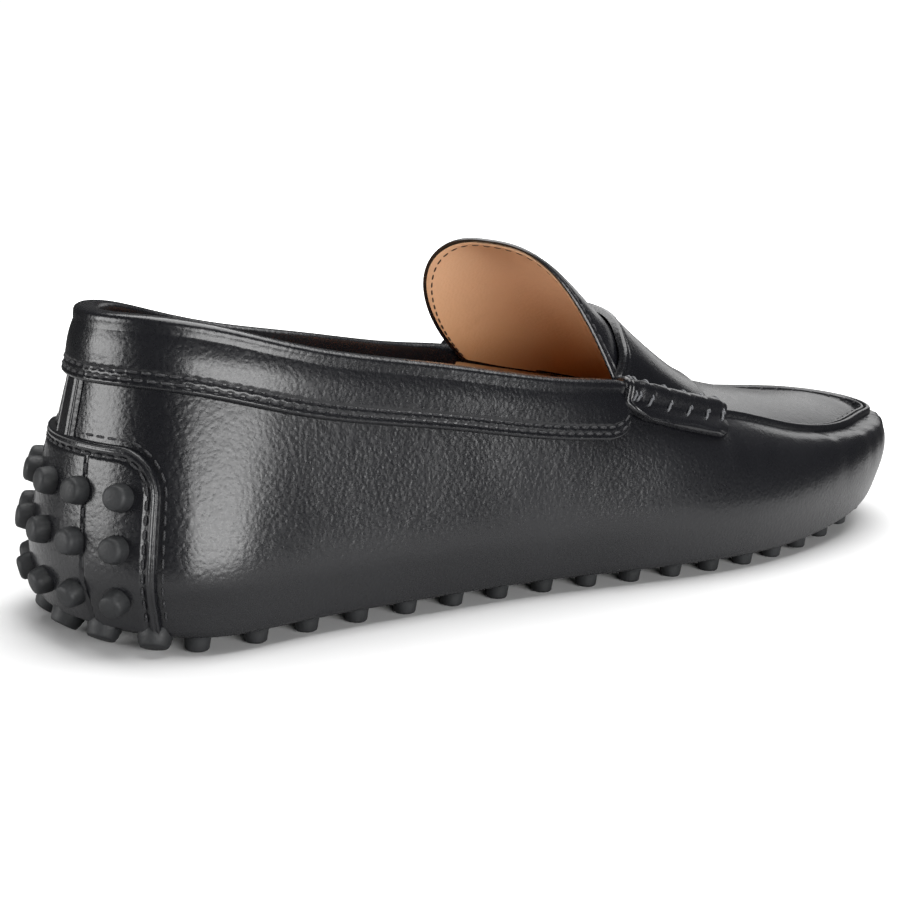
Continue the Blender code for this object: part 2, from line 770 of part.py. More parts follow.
def back_angle(distance):
    """Angle at a distance along the widest ring from the middle of the heel's
    pieces, which lies a little to the inner side. The inner side is negative."""
    turn = np.linspace(0, at_share(0.4), 200)
    line = girth_ring(turn, 0.0, 0.0, 0.0)
    run = np.concatenate([[0], np.cumsum(np.linalg.norm(np.diff(line, axis=0), axis=1))])
    place = np.asarray(distance) - BACK_OFFSET
    return np.sign(place) * np.interp(np.abs(place), run, turn)


def make_heel_patch():
    """Leather patch round the heel with rounded top corners and pebbles through it."""
    angle = stations_within(back_angle(-PATCH_REACH), back_angle(PATCH_REACH))
    start, end = angle[0], angle[-1]
    corner = end - back_angle(PATCH_REACH - PATCH_CORNER)
    turn = np.clip(1 - np.minimum(angle - start, end - angle) / corner, 0, 1)
    top = PATCH_HEIGHT - PATCH_CORNER * (1 - np.sqrt(1 - turn ** 2))
    rise = rise_at(angle, top)[:, None] * np.linspace(0, 1, 10)[None, :]
    around_heel = angle[:, None] + 0 * rise
    points = wall(around_heel, rise) + GAP * wall_normal(around_heel, rise)
    patch = shell("heel_patch", points, leather("patch_leather", BLACK, 0.42), PATCH_LEATHER, 1)
    studs = []
    for column in range(HEEL_PEBBLE_COLUMNS):
        place = (column - (HEEL_PEBBLE_COLUMNS - 1) / 2) * HEEL_PEBBLE_PITCH
        turned = back_angle(place)
        for row in range(HEEL_PEBBLE_ROWS):
            height = HEEL_PEBBLE_LOWEST + row * HEEL_PEBBLE_RISE
            at = rise_at(turned, height)[0]
            direction = wall_normal(turned, at)
            point = wall(turned, at) + (GAP + PATCH_LEATHER) * direction
            studs.append(pebble(point, direction, HEEL_PEBBLE_WIDTH, HEEL_PEBBLE_HEIGHT,
                                0.5 * PATCH_LEATHER))
    return union(patch, studs)


def make_backstay():
    """Strip at the centre back between the patch and the collar band."""
    angle = stations_within(back_angle(-BACKSTAY_WIDTH / 2), back_angle(BACKSTAY_WIDTH / 2))
    low = rise_at(angle, PATCH_HEIGHT + 2 * GAP)
    high = rise_at(angle, top_ring(angle)[:, 2] + LIP - BAND_DEPTH - GAP)
    rise = low[:, None] + (high - low)[:, None] * np.linspace(0, 1, 4)[None, :]
    turned = angle[:, None] + 0 * rise
    points = wall(turned, rise) + GAP * wall_normal(turned, rise)
    return shell("backstay", points, leather("backstay_leather", BLACK, 0.42), BACKSTAY_LEATHER, 1)


def centre_on_footprint():
    """Moves every piece so that the middle of the whole is the origin in X and Y."""
    bpy.context.view_layer.update()
    shapes = bpy.context.evaluated_depsgraph_get()
    corners = []
    for piece in shoe.objects:
        mesh = piece.evaluated_get(shapes).to_mesh()
        spots = np.empty(3 * len(mesh.vertices))
        mesh.vertices.foreach_get("co", spots)
        spots = spots.reshape(-1, 3)
        corners += [spots.min(0), spots.max(0)]
    low, high = np.min(corners, 0), np.max(corners, 0)
    shift = Matrix.Translation((-(low[0] + high[0]) / 2, -(low[1] + high[1]) / 2, -low[2]))
    for piece in list(shoe.objects) + list(cutters.objects):
        piece.data.transform(piece.matrix_basis)
        piece.matrix_basis = Matrix.Identity(4)
        piece.data.transform(shift)


for old in list(bpy.data.objects):
    bpy.data.objects.remove(old)
shoe = bpy.data.collections.new("driving_moccasin")
cutters = bpy.data.collections.new("cutters")
bpy.context.scene.collection.children.link(shoe)
bpy.context.scene.collection.children.link(cutters)

make_upper()
make_sole()
make_insole()
make_apron()
make_tongue()
make_strap()
make_collar_band()
make_heel_patch()
make_backstay()
centre_on_footprint()
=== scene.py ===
import math

import bmesh
import bpy
import numpy as np
from mathutils import Matrix


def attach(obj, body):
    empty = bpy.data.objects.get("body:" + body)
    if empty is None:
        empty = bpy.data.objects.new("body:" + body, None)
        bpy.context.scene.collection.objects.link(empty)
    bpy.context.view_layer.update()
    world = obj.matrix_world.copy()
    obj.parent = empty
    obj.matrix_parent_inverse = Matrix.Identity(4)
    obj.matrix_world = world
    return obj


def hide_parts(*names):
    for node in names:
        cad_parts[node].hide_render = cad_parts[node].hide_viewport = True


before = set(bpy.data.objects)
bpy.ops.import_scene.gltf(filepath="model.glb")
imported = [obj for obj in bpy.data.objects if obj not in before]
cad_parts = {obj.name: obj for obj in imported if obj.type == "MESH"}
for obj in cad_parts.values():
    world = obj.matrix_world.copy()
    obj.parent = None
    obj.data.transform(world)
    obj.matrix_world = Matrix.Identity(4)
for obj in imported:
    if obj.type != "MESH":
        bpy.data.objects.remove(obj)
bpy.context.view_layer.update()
mm = 0.001

# Right driving moccasin. Shapes are worked out in metres with X from the back of
# the heel to the toe, and moved at the end of each piece into the frame's place.
last = {
    "shoeLength": 289.5 * mm, "ballWidth": 93.0 * mm, "heelWidth": 64.0 * mm,
    "collarHeight": 65.6 * mm, "throatHeight": 48.4 * mm, "apronHeight": 32.0 * mm,
    "girthHeight": 20.0 * mm, "collarSetback": 9.8 * mm, "apronSetback": 4.2 * mm,
    "girthSetback": 2.1 * mm, "toeSpring": 13.0 * mm, "heelLift": 0.4 * mm,
    "springStart": 0.66, "heelLiftShare": 0.10, "seamTilt": 0.04, "instepHeight": 33.6 * mm,
    "crestLean": -0.03, "archOuter": 3.4, "archInner": 2.1, "backOffset": 2.4 * mm,
    "throatShare": 0.470, "joinShare": 0.580, "heelBulge": 0.02, "ballBulge": 0.14, "toeBulge": 0.10,
}
leatherSizes = {
    "wall": 1.8 * mm, "lip": 2.0 * mm, "sheet": 1.4 * mm, "plate": 1.8 * mm,
    "plateInset": 2.2 * mm, "gap": 0.3 * mm, "plugGap": 0.45 * mm, "strapGap": 0.6 * mm,
    "pebbleHeight": 3.6 * mm, "insole": 2.2 * mm,
}
wallThickness = leatherSizes["wall"]
lipHeight = leatherSizes["lip"]
gap = leatherSizes["gap"]
plateTop = leatherSizes["pebbleHeight"] + leatherSizes["plate"]
leatherFoot = plateTop + gap
plugInset = wallThickness + leatherSizes["plugGap"] + leatherSizes["sheet"]
upward = np.array([0, 0, 1.0])

# Widest outline: share of the length, half width of heel and of ball, swing
planTable = np.array([
    (0.00, 0.000, 0.000, 0.000), (0.02, 0.306, 0.000, 0.000), (0.06, 0.472, 0.000, 0.000),
    (0.15, 0.500, 0.000, 0.000), (0.28, 0.450, 0.053, -0.001), (0.40, 0.250, 0.211, -0.018),
    (0.52, 0.100, 0.370, -0.029), (0.64, 0.000, 0.495, -0.005), (0.74, 0.000, 0.502, 0.029),
    (0.84, 0.000, 0.459, 0.050), (0.92, 0.000, 0.366, 0.064), (0.97, 0.000, 0.253, 0.075),
    (1.00, 0.000, 0.000, 0.079),
])
# Topline and apron seam: the same columns, then the fall from collar 0 to throat 1 to toe 2
topTable = np.array([
    (0.00, 0.000, 0.000, 0.000, 0.00), (0.06, 0.325, 0.000, 0.000, 0.07),
    (0.15, 0.395, 0.000, 0.000, 0.38), (0.28, 0.350, 0.060, 0.000, 0.66),
    (0.40, 0.150, 0.247, 0.000, 0.90), (0.47, 0.080, 0.306, 0.000, 1.00),
    (0.52, 0.040, 0.346, 0.000, 1.16), (0.64, 0.000, 0.362, 0.005, 1.49),
    (0.74, 0.000, 0.359, 0.020, 1.83), (0.84, 0.000, 0.322, 0.018, 1.99),
    (0.92, 0.000, 0.239, 0.016, 1.99), (0.97, 0.000, 0.175, 0.014, 2.00),
    (1.00, 0.000, 0.000, 0.015, 2.00),
])
# Height of instep and apron over a straight line between the seams
crownTable = np.array([
    (0.36, 1.00), (0.40, 1.00), (0.44, 0.90), (0.48, 0.69), (0.52, 0.53), (0.56, 0.40),
    (0.61, 0.26), (0.67, 0.20), (0.72, 0.205), (0.77, 0.200), (0.84, 0.160), (0.92, 0.100),
    (0.97, 0.062), (1.00, 0.000),
])


def smooth(value):
    value = np.clip(value, 0, 1)
    return value * value * (3 - 2 * value)


def fade(value, start, width):
    return smooth((value - start) / width)


def signedTurn(start, end, count, endpoint=True):
    # angles round the shoe, counted back from the heel once they are past the toe
    turn = np.linspace(start, end, count, endpoint=endpoint)
    return np.where(turn > math.pi, turn - 2 * math.pi, turn)


def splineThrough(knots, values, at):
    # natural cubic spline: the bends at the knots solve one linear system
    knots, values, at = (np.asarray(a, float) for a in (knots, values, at))
    count, step = len(knots), np.diff(knots)
    system, right = np.eye(count), np.zeros_like(values)
    for i in range(1, count - 1):
        before, after = values[i] - values[i - 1], values[i + 1] - values[i]
        system[i, i - 1:i + 2] = step[i - 1], 2 * (step[i - 1] + step[i]), step[i]
        right[i] = 6 * (after / step[i] - before / step[i - 1])
    bend = np.linalg.solve(system, right)
    i = np.clip(np.searchsorted(knots, at) - 1, 0, count - 2)
    shape = at.shape + (1,) * (values.ndim - 1)
    width, after, before = (a.reshape(shape) for a in (step[i], at - knots[i], knots[i + 1] - at))
    cubic = (bend[i] * before ** 3 + bend[i + 1] * after ** 3) / (6 * width)
    low = (values[i] / width - bend[i] * width / 6) * before
    high = (values[i + 1] / width - bend[i + 1] * width / 6) * after
    return cubic + low + high


def aroundRing(table, values, angle, odd=False):
    # a column read round the ring: 0 heel, pi toe, negative angles on the inner side
    turn = np.arccos(1 - 2 * table[:, 0])
    sign = -1.0 if odd else 1.0
    knots = np.concatenate([-turn[:0:-1], turn, 2 * math.pi - turn[-2::-1]])
    column = np.concatenate([sign * values[:0:-1], values, sign * values[-2::-1]])
    return splineThrough(knots, column, angle)


def atShare(share):
    return np.arccos(1 - 2 * np.asarray(share, float))


def shareOf(angle):
    return (1 - np.cos(angle)) / 2


def widthOf(table, angle):
    half = table[:, 1] * last["heelWidth"] + table[:, 2] * last["ballWidth"]
    return aroundRing(table, half, angle, odd=True)


def sideOf(table, angle):
    # distance from the middle line, and the middle line's own swing
    return aroundRing(table, table[:, 3] * last["ballWidth"], angle) - widthOf(table, angle)


def rocker(x):
    # lift of the bottom: a parabola at the toe and a small one at the heel
    share = np.asarray(x, float) / last["shoeLength"]
    toe = np.clip((share - last["springStart"]) / (1 - last["springStart"]), 0, None) ** 2
    heel = np.clip(1 - share / last["heelLiftShare"], 0, None) ** 2
    return last["toeSpring"] * toe + last["heelLift"] * heel


def girthRing(angle, inset, height, rocking):
    start = last["girthSetback"] + inset
    x = start + (last["shoeLength"] - inset - start) * shareOf(angle)
    y = sideOf(planTable, angle) + inset * np.sin(angle)
    return np.stack([x, y, height + rocking * rocker(x)], -1)


def topRing(angle):
    reach = last["shoeLength"] - last["apronSetback"] - last["collarSetback"]
    fall = aroundRing(topTable, topTable[:, 4], angle)
    toThroat = (last["throatHeight"] - last["collarHeight"]) * np.minimum(fall, 1)
    toToe = (last["apronHeight"] - last["throatHeight"]) * np.maximum(fall - 1, 0)
    tilt = last["seamTilt"] * fade(shareOf(angle), 0.44, 0.16)
    z = last["collarHeight"] + toThroat + toToe - tilt * widthOf(topTable, angle)
    x = last["collarSetback"] + reach * shareOf(angle)
    return np.stack([x, sideOf(topTable, angle), z], -1)


def lipTop(angle):
    return topRing(angle)[:, 2] + lipHeight


def wall(angle, rise):
    # outer face of the upper: a spline up through five rings, foot 0 to topline 1
    angle, rise = np.broadcast_arrays(np.asarray(angle, float), np.asarray(rise, float))
    inset, girthHeight = leatherSizes["plateInset"], last["girthHeight"]
    girth, top = girthRing(angle, 0.0, girthHeight, 0.5), topRing(angle)
    low = 0.25 * (leatherFoot + girthHeight)
    forward = shareOf(angle)[..., None]
    bulge = (last["heelBulge"] + last["ballBulge"] * fade(forward, 0.28, 0.54)
             - last["toeBulge"] * fade(forward, 0.86, 0.14))
    out = np.stack([-np.cos(angle), -np.sin(angle), np.ones_like(angle)], -1)
    rings = np.stack([
        girthRing(angle, inset, leatherFoot, 1.0),
        girthRing(angle, 0.30 * inset, leatherFoot + low, 0.85),
        girth,
        girth + 0.5 * (top - girth) + bulge * girthHeight * out,
        top,
    ], -2)
    weights = splineThrough([0.0, 0.20, 0.45, 0.72, 1.0], np.eye(5), rise)
    return np.einsum("...k,...kd->...d", weights, rings)


def unit(vectors):
    return vectors / np.maximum(np.linalg.norm(vectors, axis=-1, keepdims=True), 1e-12)


def wallNormal(angle, rise):
    small = 1e-3
    along = wall(np.asarray(angle) + small, rise) - wall(np.asarray(angle) - small, rise)
    up = wall(angle, np.asarray(rise) + small) - wall(angle, np.asarray(rise) - small)
    return unit(np.cross(along, up))


def framedWall(angle, rise):
    return wall(angle, rise), wallNormal(angle, rise)


def levelNormal(ring, angle):
    small = 1e-3
    along = ring(angle + small) - ring(angle - small)
    return unit(np.stack([along[..., 1], -along[..., 0], np.zeros_like(along[..., 0])], -1))


def riseAt(angle, height):
    # rise at which the wall passes a height, read from a fine table for each angle
    steps = np.linspace(0, 1, 60)
    angle, height = np.broadcast_arrays(np.atleast_1d(angle), height)
    heights = wall(angle[:, None], steps[None, :])[..., 2]
    return np.array([np.interp(z, row, steps) for z, row in zip(height, heights)])


def seamLine(angle, inward):
    return topRing(angle) - inward * levelNormal(topRing, angle)


def instep(share, across):
    # straight lines between the seams, raised by the crown with an arch across
    share, across = np.broadcast_arrays(np.asarray(share, float), np.asarray(across, float))
    angle = atShare(share)
    outer, inner = seamLine(angle, plugInset), seamLine(-angle, plugInset)
    crown = splineThrough(crownTable[:, 0], crownTable[:, 1] * last["instepHeight"], share)
    point = outer + (inner - outer) * (across[..., None] + 1) / 2
    power = np.where(across < 0, last["archOuter"], last["archInner"])
    power = power + (last["archInner"] - power) * fade(share, 0.46, 0.20)
    point[..., 2] += crown * (1 - np.abs(across) ** power) * (1 + last["crestLean"] * across)
    return point


def instepNormal(share, across):
    small = 1e-3
    share = np.clip(share, None, 1 - 2 * small)
    along = instep(share + small, across) - instep(share - small, across)
    over = instep(share, across + small) - instep(share, across - small)
    return unit(np.cross(along, over))


def framedInstep(share, across):
    return instep(share, across), instepNormal(share, across)


def runAlong(line):
    return np.concatenate([[0], np.cumsum(np.linalg.norm(np.diff(line, axis=0), axis=1))])


turns = np.linspace(0, math.pi, 1500)
girthRun = runAlong(girthRing(turns, 0.0, 0.0, 0.0))
topRun = runAlong(topRing(turns))


def runOf(angle, table=girthRun):
    # distance along a ring from the centre back, negative on the inner side
    return np.sign(angle) * np.interp(np.abs(angle), turns, table)


def angleOf(run, table=girthRun):
    return np.sign(run) * np.interp(np.abs(run), table, turns)


def heelAngle(run):
    # at a distance from the middle line of the heel's patch, pebbles and backstay
    return angleOf(run - last["backOffset"])


def bell(distance, width):
    return np.exp(-(distance / width) ** 2)


def roundedEdge(distance, radius):
    # 0 at the edge, rising as a quarter circle to 1 at the radius
    return np.sqrt(1 - (1 - np.clip(distance / radius, 0, 1)) ** 2)


# Meshes
place = np.array([-143.431, -1.601, 0.0]) * mm


def gridFaces(rows, columns, closed=False):
    i = np.arange(rows if closed else rows - 1)[:, None]
    j = np.arange(columns - 1)[None, :]
    a, b = i * columns + j, (i + 1) % rows * columns + j
    return np.stack([a, b, b + 1, a + 1], -1).reshape(-1, 4)


def makePiece(name, points, faces, material, slot, replaced=(), merge=1e-6, sharp=50):
    # welds doubles, drops empty faces, moves the points into the frame and lets it ride
    mesh = bpy.data.meshes.new(name)
    faces = faces.tolist() if isinstance(faces, np.ndarray) else faces
    mesh.from_pydata((np.asarray(points).reshape(-1, 3) + place).tolist(), [], faces)
    shaped = bmesh.new()
    shaped.from_mesh(mesh)
    bmesh.ops.remove_doubles(shaped, verts=shaped.verts, dist=merge)
    bmesh.ops.dissolve_degenerate(shaped, edges=shaped.edges, dist=merge)
    if shaped.calc_volume(signed=True) < 0:
        bmesh.ops.reverse_faces(shaped, faces=shaped.faces)
    shaped.to_mesh(mesh)
    shaped.free()
    mesh.materials.append(material)
    mesh.shade_smooth()
    mesh.set_sharp_from_angle(angle=math.radians(sharp))
    piece = bpy.data.objects.new(name, mesh)
    bpy.context.scene.collection.objects.link(piece)
    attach(piece, "root")
    if replaced:
        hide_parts(*replaced)
    print("made", name, len(mesh.polygons))
    return piece


def pillow(base, lift, hole=None):
    # closed sheet: the top stands over the base by the lift, and both meet where it is 0
    rows, columns = base.shape[:2]
    faces = gridFaces(rows, columns)
    if hole is not None:
        faces = faces[~hole[:-1, :-1].reshape(-1)]
    points = np.concatenate([lift.reshape(-1, 3), base.reshape(-1, 3)])
    return points, np.concatenate([faces, rows * columns + faces[:, ::-1]])


def rounded(lift, base, normal, start=0.1 * mm):
    # sheet on a surface from just over it up to the lift
    return pillow(base + start * normal, base + (start + lift)[..., None] * normal)


def joined(parts):
    # several (points, faces) as one
    points, faces, start = [], [], 0
    for p, f in parts:
        p = np.asarray(p).reshape(-1, 3)
        points.append(p)
        faces += [tuple(start + int(v) for v in face) for face in f]
        start += len(p)
    return np.concatenate(points), faces


def atDistances(path, stops):
    run = runAlong(path)
    return np.stack([np.interp(stops, run, path[:, k]) for k in range(3)], -1)


def stitchRow(path, outward, thread, phase=0.5):
    # short threads along a path: each an arch whose ends dive, from one mould
    run = runAlong(path)
    count = int(run[-1] / thread["pitch"])
    stops = (np.arange(count) + phase) * run[-1] / count
    small = 0.2 * mm
    middle = atDistances(path, stops)
    ahead = unit(atDistances(path, stops + small) - atDistances(path, stops - small))
    normal = np.stack([np.interp(stops, run, outward[:, k]) for k in range(3)], -1)
    side = unit(np.cross(normal, ahead))
    normal = np.cross(ahead, side)
    slant = thread.get("slant", 0.0)
    ahead, side = ahead + slant * side, side - slant * ahead
    along = np.linspace(-1, 1, 9)[:, None]
    turn = np.linspace(0, 2 * math.pi, 9)[None, :]
    thick = 0.5 * thread["width"] * np.sqrt(np.clip(1 - np.abs(along) ** 3, 0, 1))
    x = 0.5 * thread["length"] * along + 0 * turn
    y = thick * np.cos(turn)
    z = thick * np.sin(turn) + thread["rise"] - thread["dive"] * along ** 4
    points = (middle[:, None, None] + x[..., None] * ahead[:, None, None]
              + y[..., None] * side[:, None, None] + z[..., None] * normal[:, None, None])
    faces = gridFaces(9, 9)[None] + 81 * np.arange(count)[:, None, None]
    return points.reshape(-1, 3), faces.reshape(-1, 4)


def cordAlong(path, radius, sides=8):
    # round thread swept along a path, closed at both ends
    ahead = unit(np.gradient(path, axis=0))
    hint = np.array([0.31, 0.17, 0.93])
    side = unit(np.cross(ahead, hint))
    up = np.cross(side, ahead)
    turn = np.linspace(0, 2 * math.pi, sides + 1)
    grid = path[:, None] + radius[:, None, None] * (
        np.cos(turn)[None, :, None] * side[:, None] + np.sin(turn)[None, :, None] * up[:, None])
    return grid.reshape(-1, 3), gridFaces(*grid.shape[:2])


# Materials
class Shade:
    # one socket of a shader: arithmetic on it adds Math nodes
    def __init__(self, recipe, socket):
        self.recipe, self.socket = recipe, socket

    def __add__(self, other):
        return self.recipe.math("ADD", self, other)

    def __mul__(self, other):
        return self.recipe.math("MULTIPLY", self, other)

    __radd__ = __add__
    __rmul__ = __mul__


class Recipe:
    # a Principled material and what feeds it
    def __init__(self, name, constants):
        self.material = bpy.data.materials.new(name)
        self.material.use_nodes = True
        self.tree = self.material.node_tree
        self.surface = self.tree.nodes["Principled BSDF"]
        for key, value in constants.items():
            self.surface.inputs[key].default_value = value
        self.place = self.add("ShaderNodeTexCoord", output="Object")

    def add(self, kind, settings=None, values=None, output=0):
        node = self.tree.nodes.new(kind)
        for key, value in (settings or {}).items():
            setattr(node, key, value)
        for key, value in (values or {}).items():
            if isinstance(value, Shade):
                self.tree.links.new(value.socket, node.inputs[key])
            else:
                node.inputs[key].default_value = value
        return Shade(self, node.outputs[output])

    def math(self, operation, first, second):
        return self.add("ShaderNodeMath", {"operation": operation}, {0: first, 1: second})

    def noise(self, scale, detail=3.0, roughness=0.5):
        values = {"Vector": self.place, "Scale": scale, "Detail": detail, "Roughness": roughness}
        return self.add("ShaderNodeTexNoise", {}, values)

    def cells(self, scale, feature="F1", place=None):
        values = {"Vector": place or self.place, "Scale": scale}
        return self.add("ShaderNodeTexVoronoi", {"feature": feature}, values)

    def mix(self, factor, first, second):
        values = {0: factor, 6: first, 7: second}
        return self.add("ShaderNodeMix", {"data_type": "RGBA"}, values, output=2)

    def tones(self, factor, look):
        return self.mix(factor, (*look["dark"], 1), (*look["light"], 1))

    def between(self, value, low, high, toLow=0.0, toHigh=1.0):
        return self.add("ShaderNodeMapRange", {"interpolation_type": "SMOOTHSTEP"},
                        {0: value, 1: low, 2: high, 3: toLow, 4: toHigh})

    def feed(self, socket, value):
        self.tree.links.new(value.socket, self.surface.inputs[socket])

    def bump(self, height, distance, strength=1.0):
        values = {"Height": height, "Distance": distance, "Strength": strength}
        self.feed("Normal", self.add("ShaderNodeBump", {}, values))


def calf(name, look):
    # smooth dyed calf: fine cells for the grain, slow waves for the hide, a thin coat
    recipe = Recipe(name, {"Coat Weight": look["coat"], "Coat Roughness": look["coatRoughness"],
                           "Specular IOR Level": look["specular"]})
    stray = {"Vector": recipe.place, "Scale": 700.0}
    warp = recipe.add("ShaderNodeVectorMath", {"operation": "MULTIPLY_ADD"},
                      {0: recipe.add("ShaderNodeTexNoise", {}, stray, output=1),
                       1: (0.0006, 0.0006, 0.0006), 2: recipe.place})
    cells = recipe.cells(look["grainScale"], "SMOOTH_F1", warp)
    fine = recipe.noise(look["grainScale"] * 1.9, 2.0)
    hide = recipe.noise(55.0, 3.0, 0.55)
    patches = recipe.noise(24.0, 2.0)
    grain = cells * 0.65 + fine * 0.35
    recipe.bump(grain * look["grain"] + hide * look["wave"], 1.0 * mm)
    shade = recipe.between(hide * 0.6 + patches * 0.4, 0.35, 0.65)
    recipe.feed("Base Color", recipe.tones(shade, look))
    recipe.feed("Roughness", recipe.between(patches * 0.5 + fine * 0.5, 0.3, 0.7,
                                            look["roughness"] - 0.05, look["roughness"] + 0.05))
    return recipe.material


blackCalf = {
    "dark": (0.0048, 0.0050, 0.0066), "light": (0.0072, 0.0074, 0.0092), "roughness": 0.29,
    "coat": 0.20, "coatRoughness": 0.17, "specular": 0.5, "grainScale": 1000.0, "grain": 0.11,
    "wave": 0.26,
}
upperFinish = calf("upper_calf", blackCalf)
strapFinish = calf("strap_calf", {**blackCalf, "roughness": 0.28, "grain": 0.08})
bandFinish = calf("band_calf", {**blackCalf, "roughness": 0.28, "grain": 0.09})
patchFinish = calf("patch_calf", {**blackCalf, "roughness": 0.30, "grain": 0.10})


def liningFinish(name, look):
    # glove leather dyed tan, with faint blotches; the paler top and the darker, redder foot are painted
    # shade
    recipe = Recipe(name, {"Coat Weight": 0.05, "Coat Roughness": 0.4})
    height = recipe.add("ShaderNodeSeparateXYZ", {}, {0: recipe.place}, output=2)
    blotch = recipe.noise(70.0, 4.0, 0.6)
    fine = recipe.noise(1500.0, 3.0)
    # painted shade: the tone runs by height from dark and red low down to paler on top
    shade = recipe.tones(recipe.between(height + blotch * 0.012, look["low"], look["high"]), look)
    stained = recipe.between(blotch, 0.55, 0.75) * 0.35
    recipe.feed("Base Color", recipe.mix(stained, shade, (*look["stain"], 1)))
    recipe.feed("Roughness", recipe.between(fine, 0.3, 0.7, 0.5, 0.62))
    recipe.bump(recipe.cells(1100.0) * 0.08 + fine * 0.05, 1.0 * mm)
    return recipe.material


# light and dark are the ends of the painted shade, low and high the heights in metres between them;
# stain is a real stain
tanLiningAndPaintedShade = {
    "light": (0.78, 0.49, 0.30), "dark": (0.62, 0.35, 0.16), "stain": (0.56, 0.31, 0.16),
    "low": 0.040, "high": 0.084,
}
liningLeather = liningFinish("tan_lining", tanLiningAndPaintedShade)


def rubberFinish(name, look):
    recipe = Recipe(name, {"Specular IOR Level": 0.45})
    speck = recipe.noise(1800.0, 3.0, 0.6)
    wear = recipe.noise(160.0, 3.0)
    recipe.feed("Base Color", recipe.tones(recipe.between(wear, 0.35, 0.7), look))
    recipe.feed("Roughness", recipe.between(speck, 0.3, 0.7, look["roughness"] - 0.06,
                                            look["roughness"] + 0.06))
    recipe.bump(speck * 0.06 + wear * 0.10, 1.0 * mm)
    return recipe.material


blackRubber = {"dark": (0.014, 0.015, 0.016), "light": (0.024, 0.025, 0.027), "roughness": 0.55}
pebbleRubber = rubberFinish("pebble_rubber", blackRubber)


def threadFinish(name, color, roughness):
    recipe = Recipe(name, {"Sheen Weight": 0.1})
    twist = recipe.add("ShaderNodeTexWave", {"bands_direction": "DIAGONAL"},
                       {"Vector": recipe.place, "Scale": 900.0, "Distortion": 1.5})
    # painted sheen: the twist's stripes take a lighter copy of the thread's colour
    plySheen = tuple(min(1.0, 1.6 * c) for c in color)
    recipe.feed("Base Color", recipe.mix(twist, (*color, 1), (*plySheen, 1)))
    recipe.feed("Roughness", recipe.between(twist, 0.0, 1.0, roughness, roughness + 0.1))
    recipe.bump(twist * 0.15, 0.5 * mm)
    return recipe.material


blackThread = threadFinish("black_thread", (0.010, 0.010, 0.012), 0.42)
# painted sheen: black thread given a grey colour for the light it catches
sheenPaintedThread = threadFinish("thread_painted_sheen", (0.070, 0.072, 0.078), 0.30)
brownThread = threadFinish("brown_thread", (0.040, 0.018, 0.008), 0.6)

# Upper: one surface from the middle of the underside, out and up the wall, over the
# lip and down inside again, so that it is one closed body with its real wall
upperLook = {
    "stations": 460, "rollWidth": 3.0 * mm, "heelCentre": 26.0 * mm, "toeCentre": 34.0 * mm,
    "gatherPitch": 7.0 * mm, "gatherDepth": 0.14 * mm, "gatherStart": 0.66, "gatherReach": 0.12,
    "puckerPitch": 5.2 * mm, "puckerDepth": 0.28 * mm, "puckerStart": 0.93, "foldAt": 189.0 * mm,
    "foldDepth": 0.45 * mm, "foldWidth": 1.5 * mm, "foldSlant": 6.0 * mm, "ridgeHeight": 0.35 * mm,
    "ridgeAway": 3.4 * mm, "ridgeWidth": 2.2 * mm, "waveDepth": 0.16 * mm, "wavePitch": 23.0 * mm,
    "stitchDrop": 1.0 * mm, "lipLean": 0.10 * mm,
}


def wallCreases(angle, rise):
    # outward, in metres: gathers under the toe seam, long soft folds at the toe, and one
    # fold with its ridge under the strap's front corner; down is a share of the wall
    look = upperLook
    run, down, forward = runOf(angle), 1 - rise, shareOf(angle)
    toeward = fade(forward, look["gatherStart"], 0.12)
    turn = 2 * math.pi * run / look["gatherPitch"]
    gathers = -look["gatherDepth"] * (0.5 + 0.5 * np.cos(turn)) ** 3
    gathers = gathers * bell(down - 0.03, look["gatherReach"]) * toeward
    pucker = np.sin(2 * math.pi * run / look["puckerPitch"] + np.sin(0.4 * run / mm))
    pucker = look["puckerDepth"] * pucker * fade(forward, look["puckerStart"], 0.05)
    slow = 2 * math.pi * run / look["wavePitch"]
    wave = np.sin(slow + 0.8 * np.sin(0.37 * slow)) + 0.5 * np.sin(2.3 * slow + 1.1)
    wave = look["waveDepth"] * wave * toeward * bell(down - 0.25, 0.30) * (rise > 0)
    line = np.abs(run) - (look["foldAt"] - look["foldSlant"] * np.clip(down - 0.05, 0, 0.4))
    fold = -look["foldDepth"] * bell(line, look["foldWidth"] * (1 + 2 * down))
    fold = fold * fade(down, 0, 0.04) * (1 - fade(down, 0.12, 0.28))
    ridge = look["ridgeHeight"] * bell(line - look["ridgeAway"], look["ridgeWidth"])
    ridge = ridge * fade(down, 0, 0.05) * (1 - fade(down, 0.15, 0.25))
    return gathers + pucker * bell(down - 0.22, 0.20) + wave + fold + ridge


def wallSurface(angle, rise):
    return wall(angle, rise) + wallCreases(angle, rise)[..., None] * wallNormal(angle, rise)


def underside(angle, inward, height, depth):
    # from the wall's foot to the spine, rolling down by the depth over the roll's width
    foot = girthRing(angle, leatherSizes["plateInset"], 0.0, 0.0)
    mirrored = girthRing(-angle, leatherSizes["plateInset"], 0.0, 0.0)
    spine = (foot + mirrored) / 2
    length = last["shoeLength"] - upperLook["heelCentre"] - upperLook["toeCentre"]
    spine[..., 0] = upperLook["heelCentre"] + length * shareOf(angle)
    point = foot + (spine - foot) * inward
    travelled = np.linalg.norm(point - foot, axis=-1)
    sunk = depth * roundedEdge(travelled, upperLook["rollWidth"])
    point[..., 2] = height + rocker(point[..., 0]) - sunk
    return point


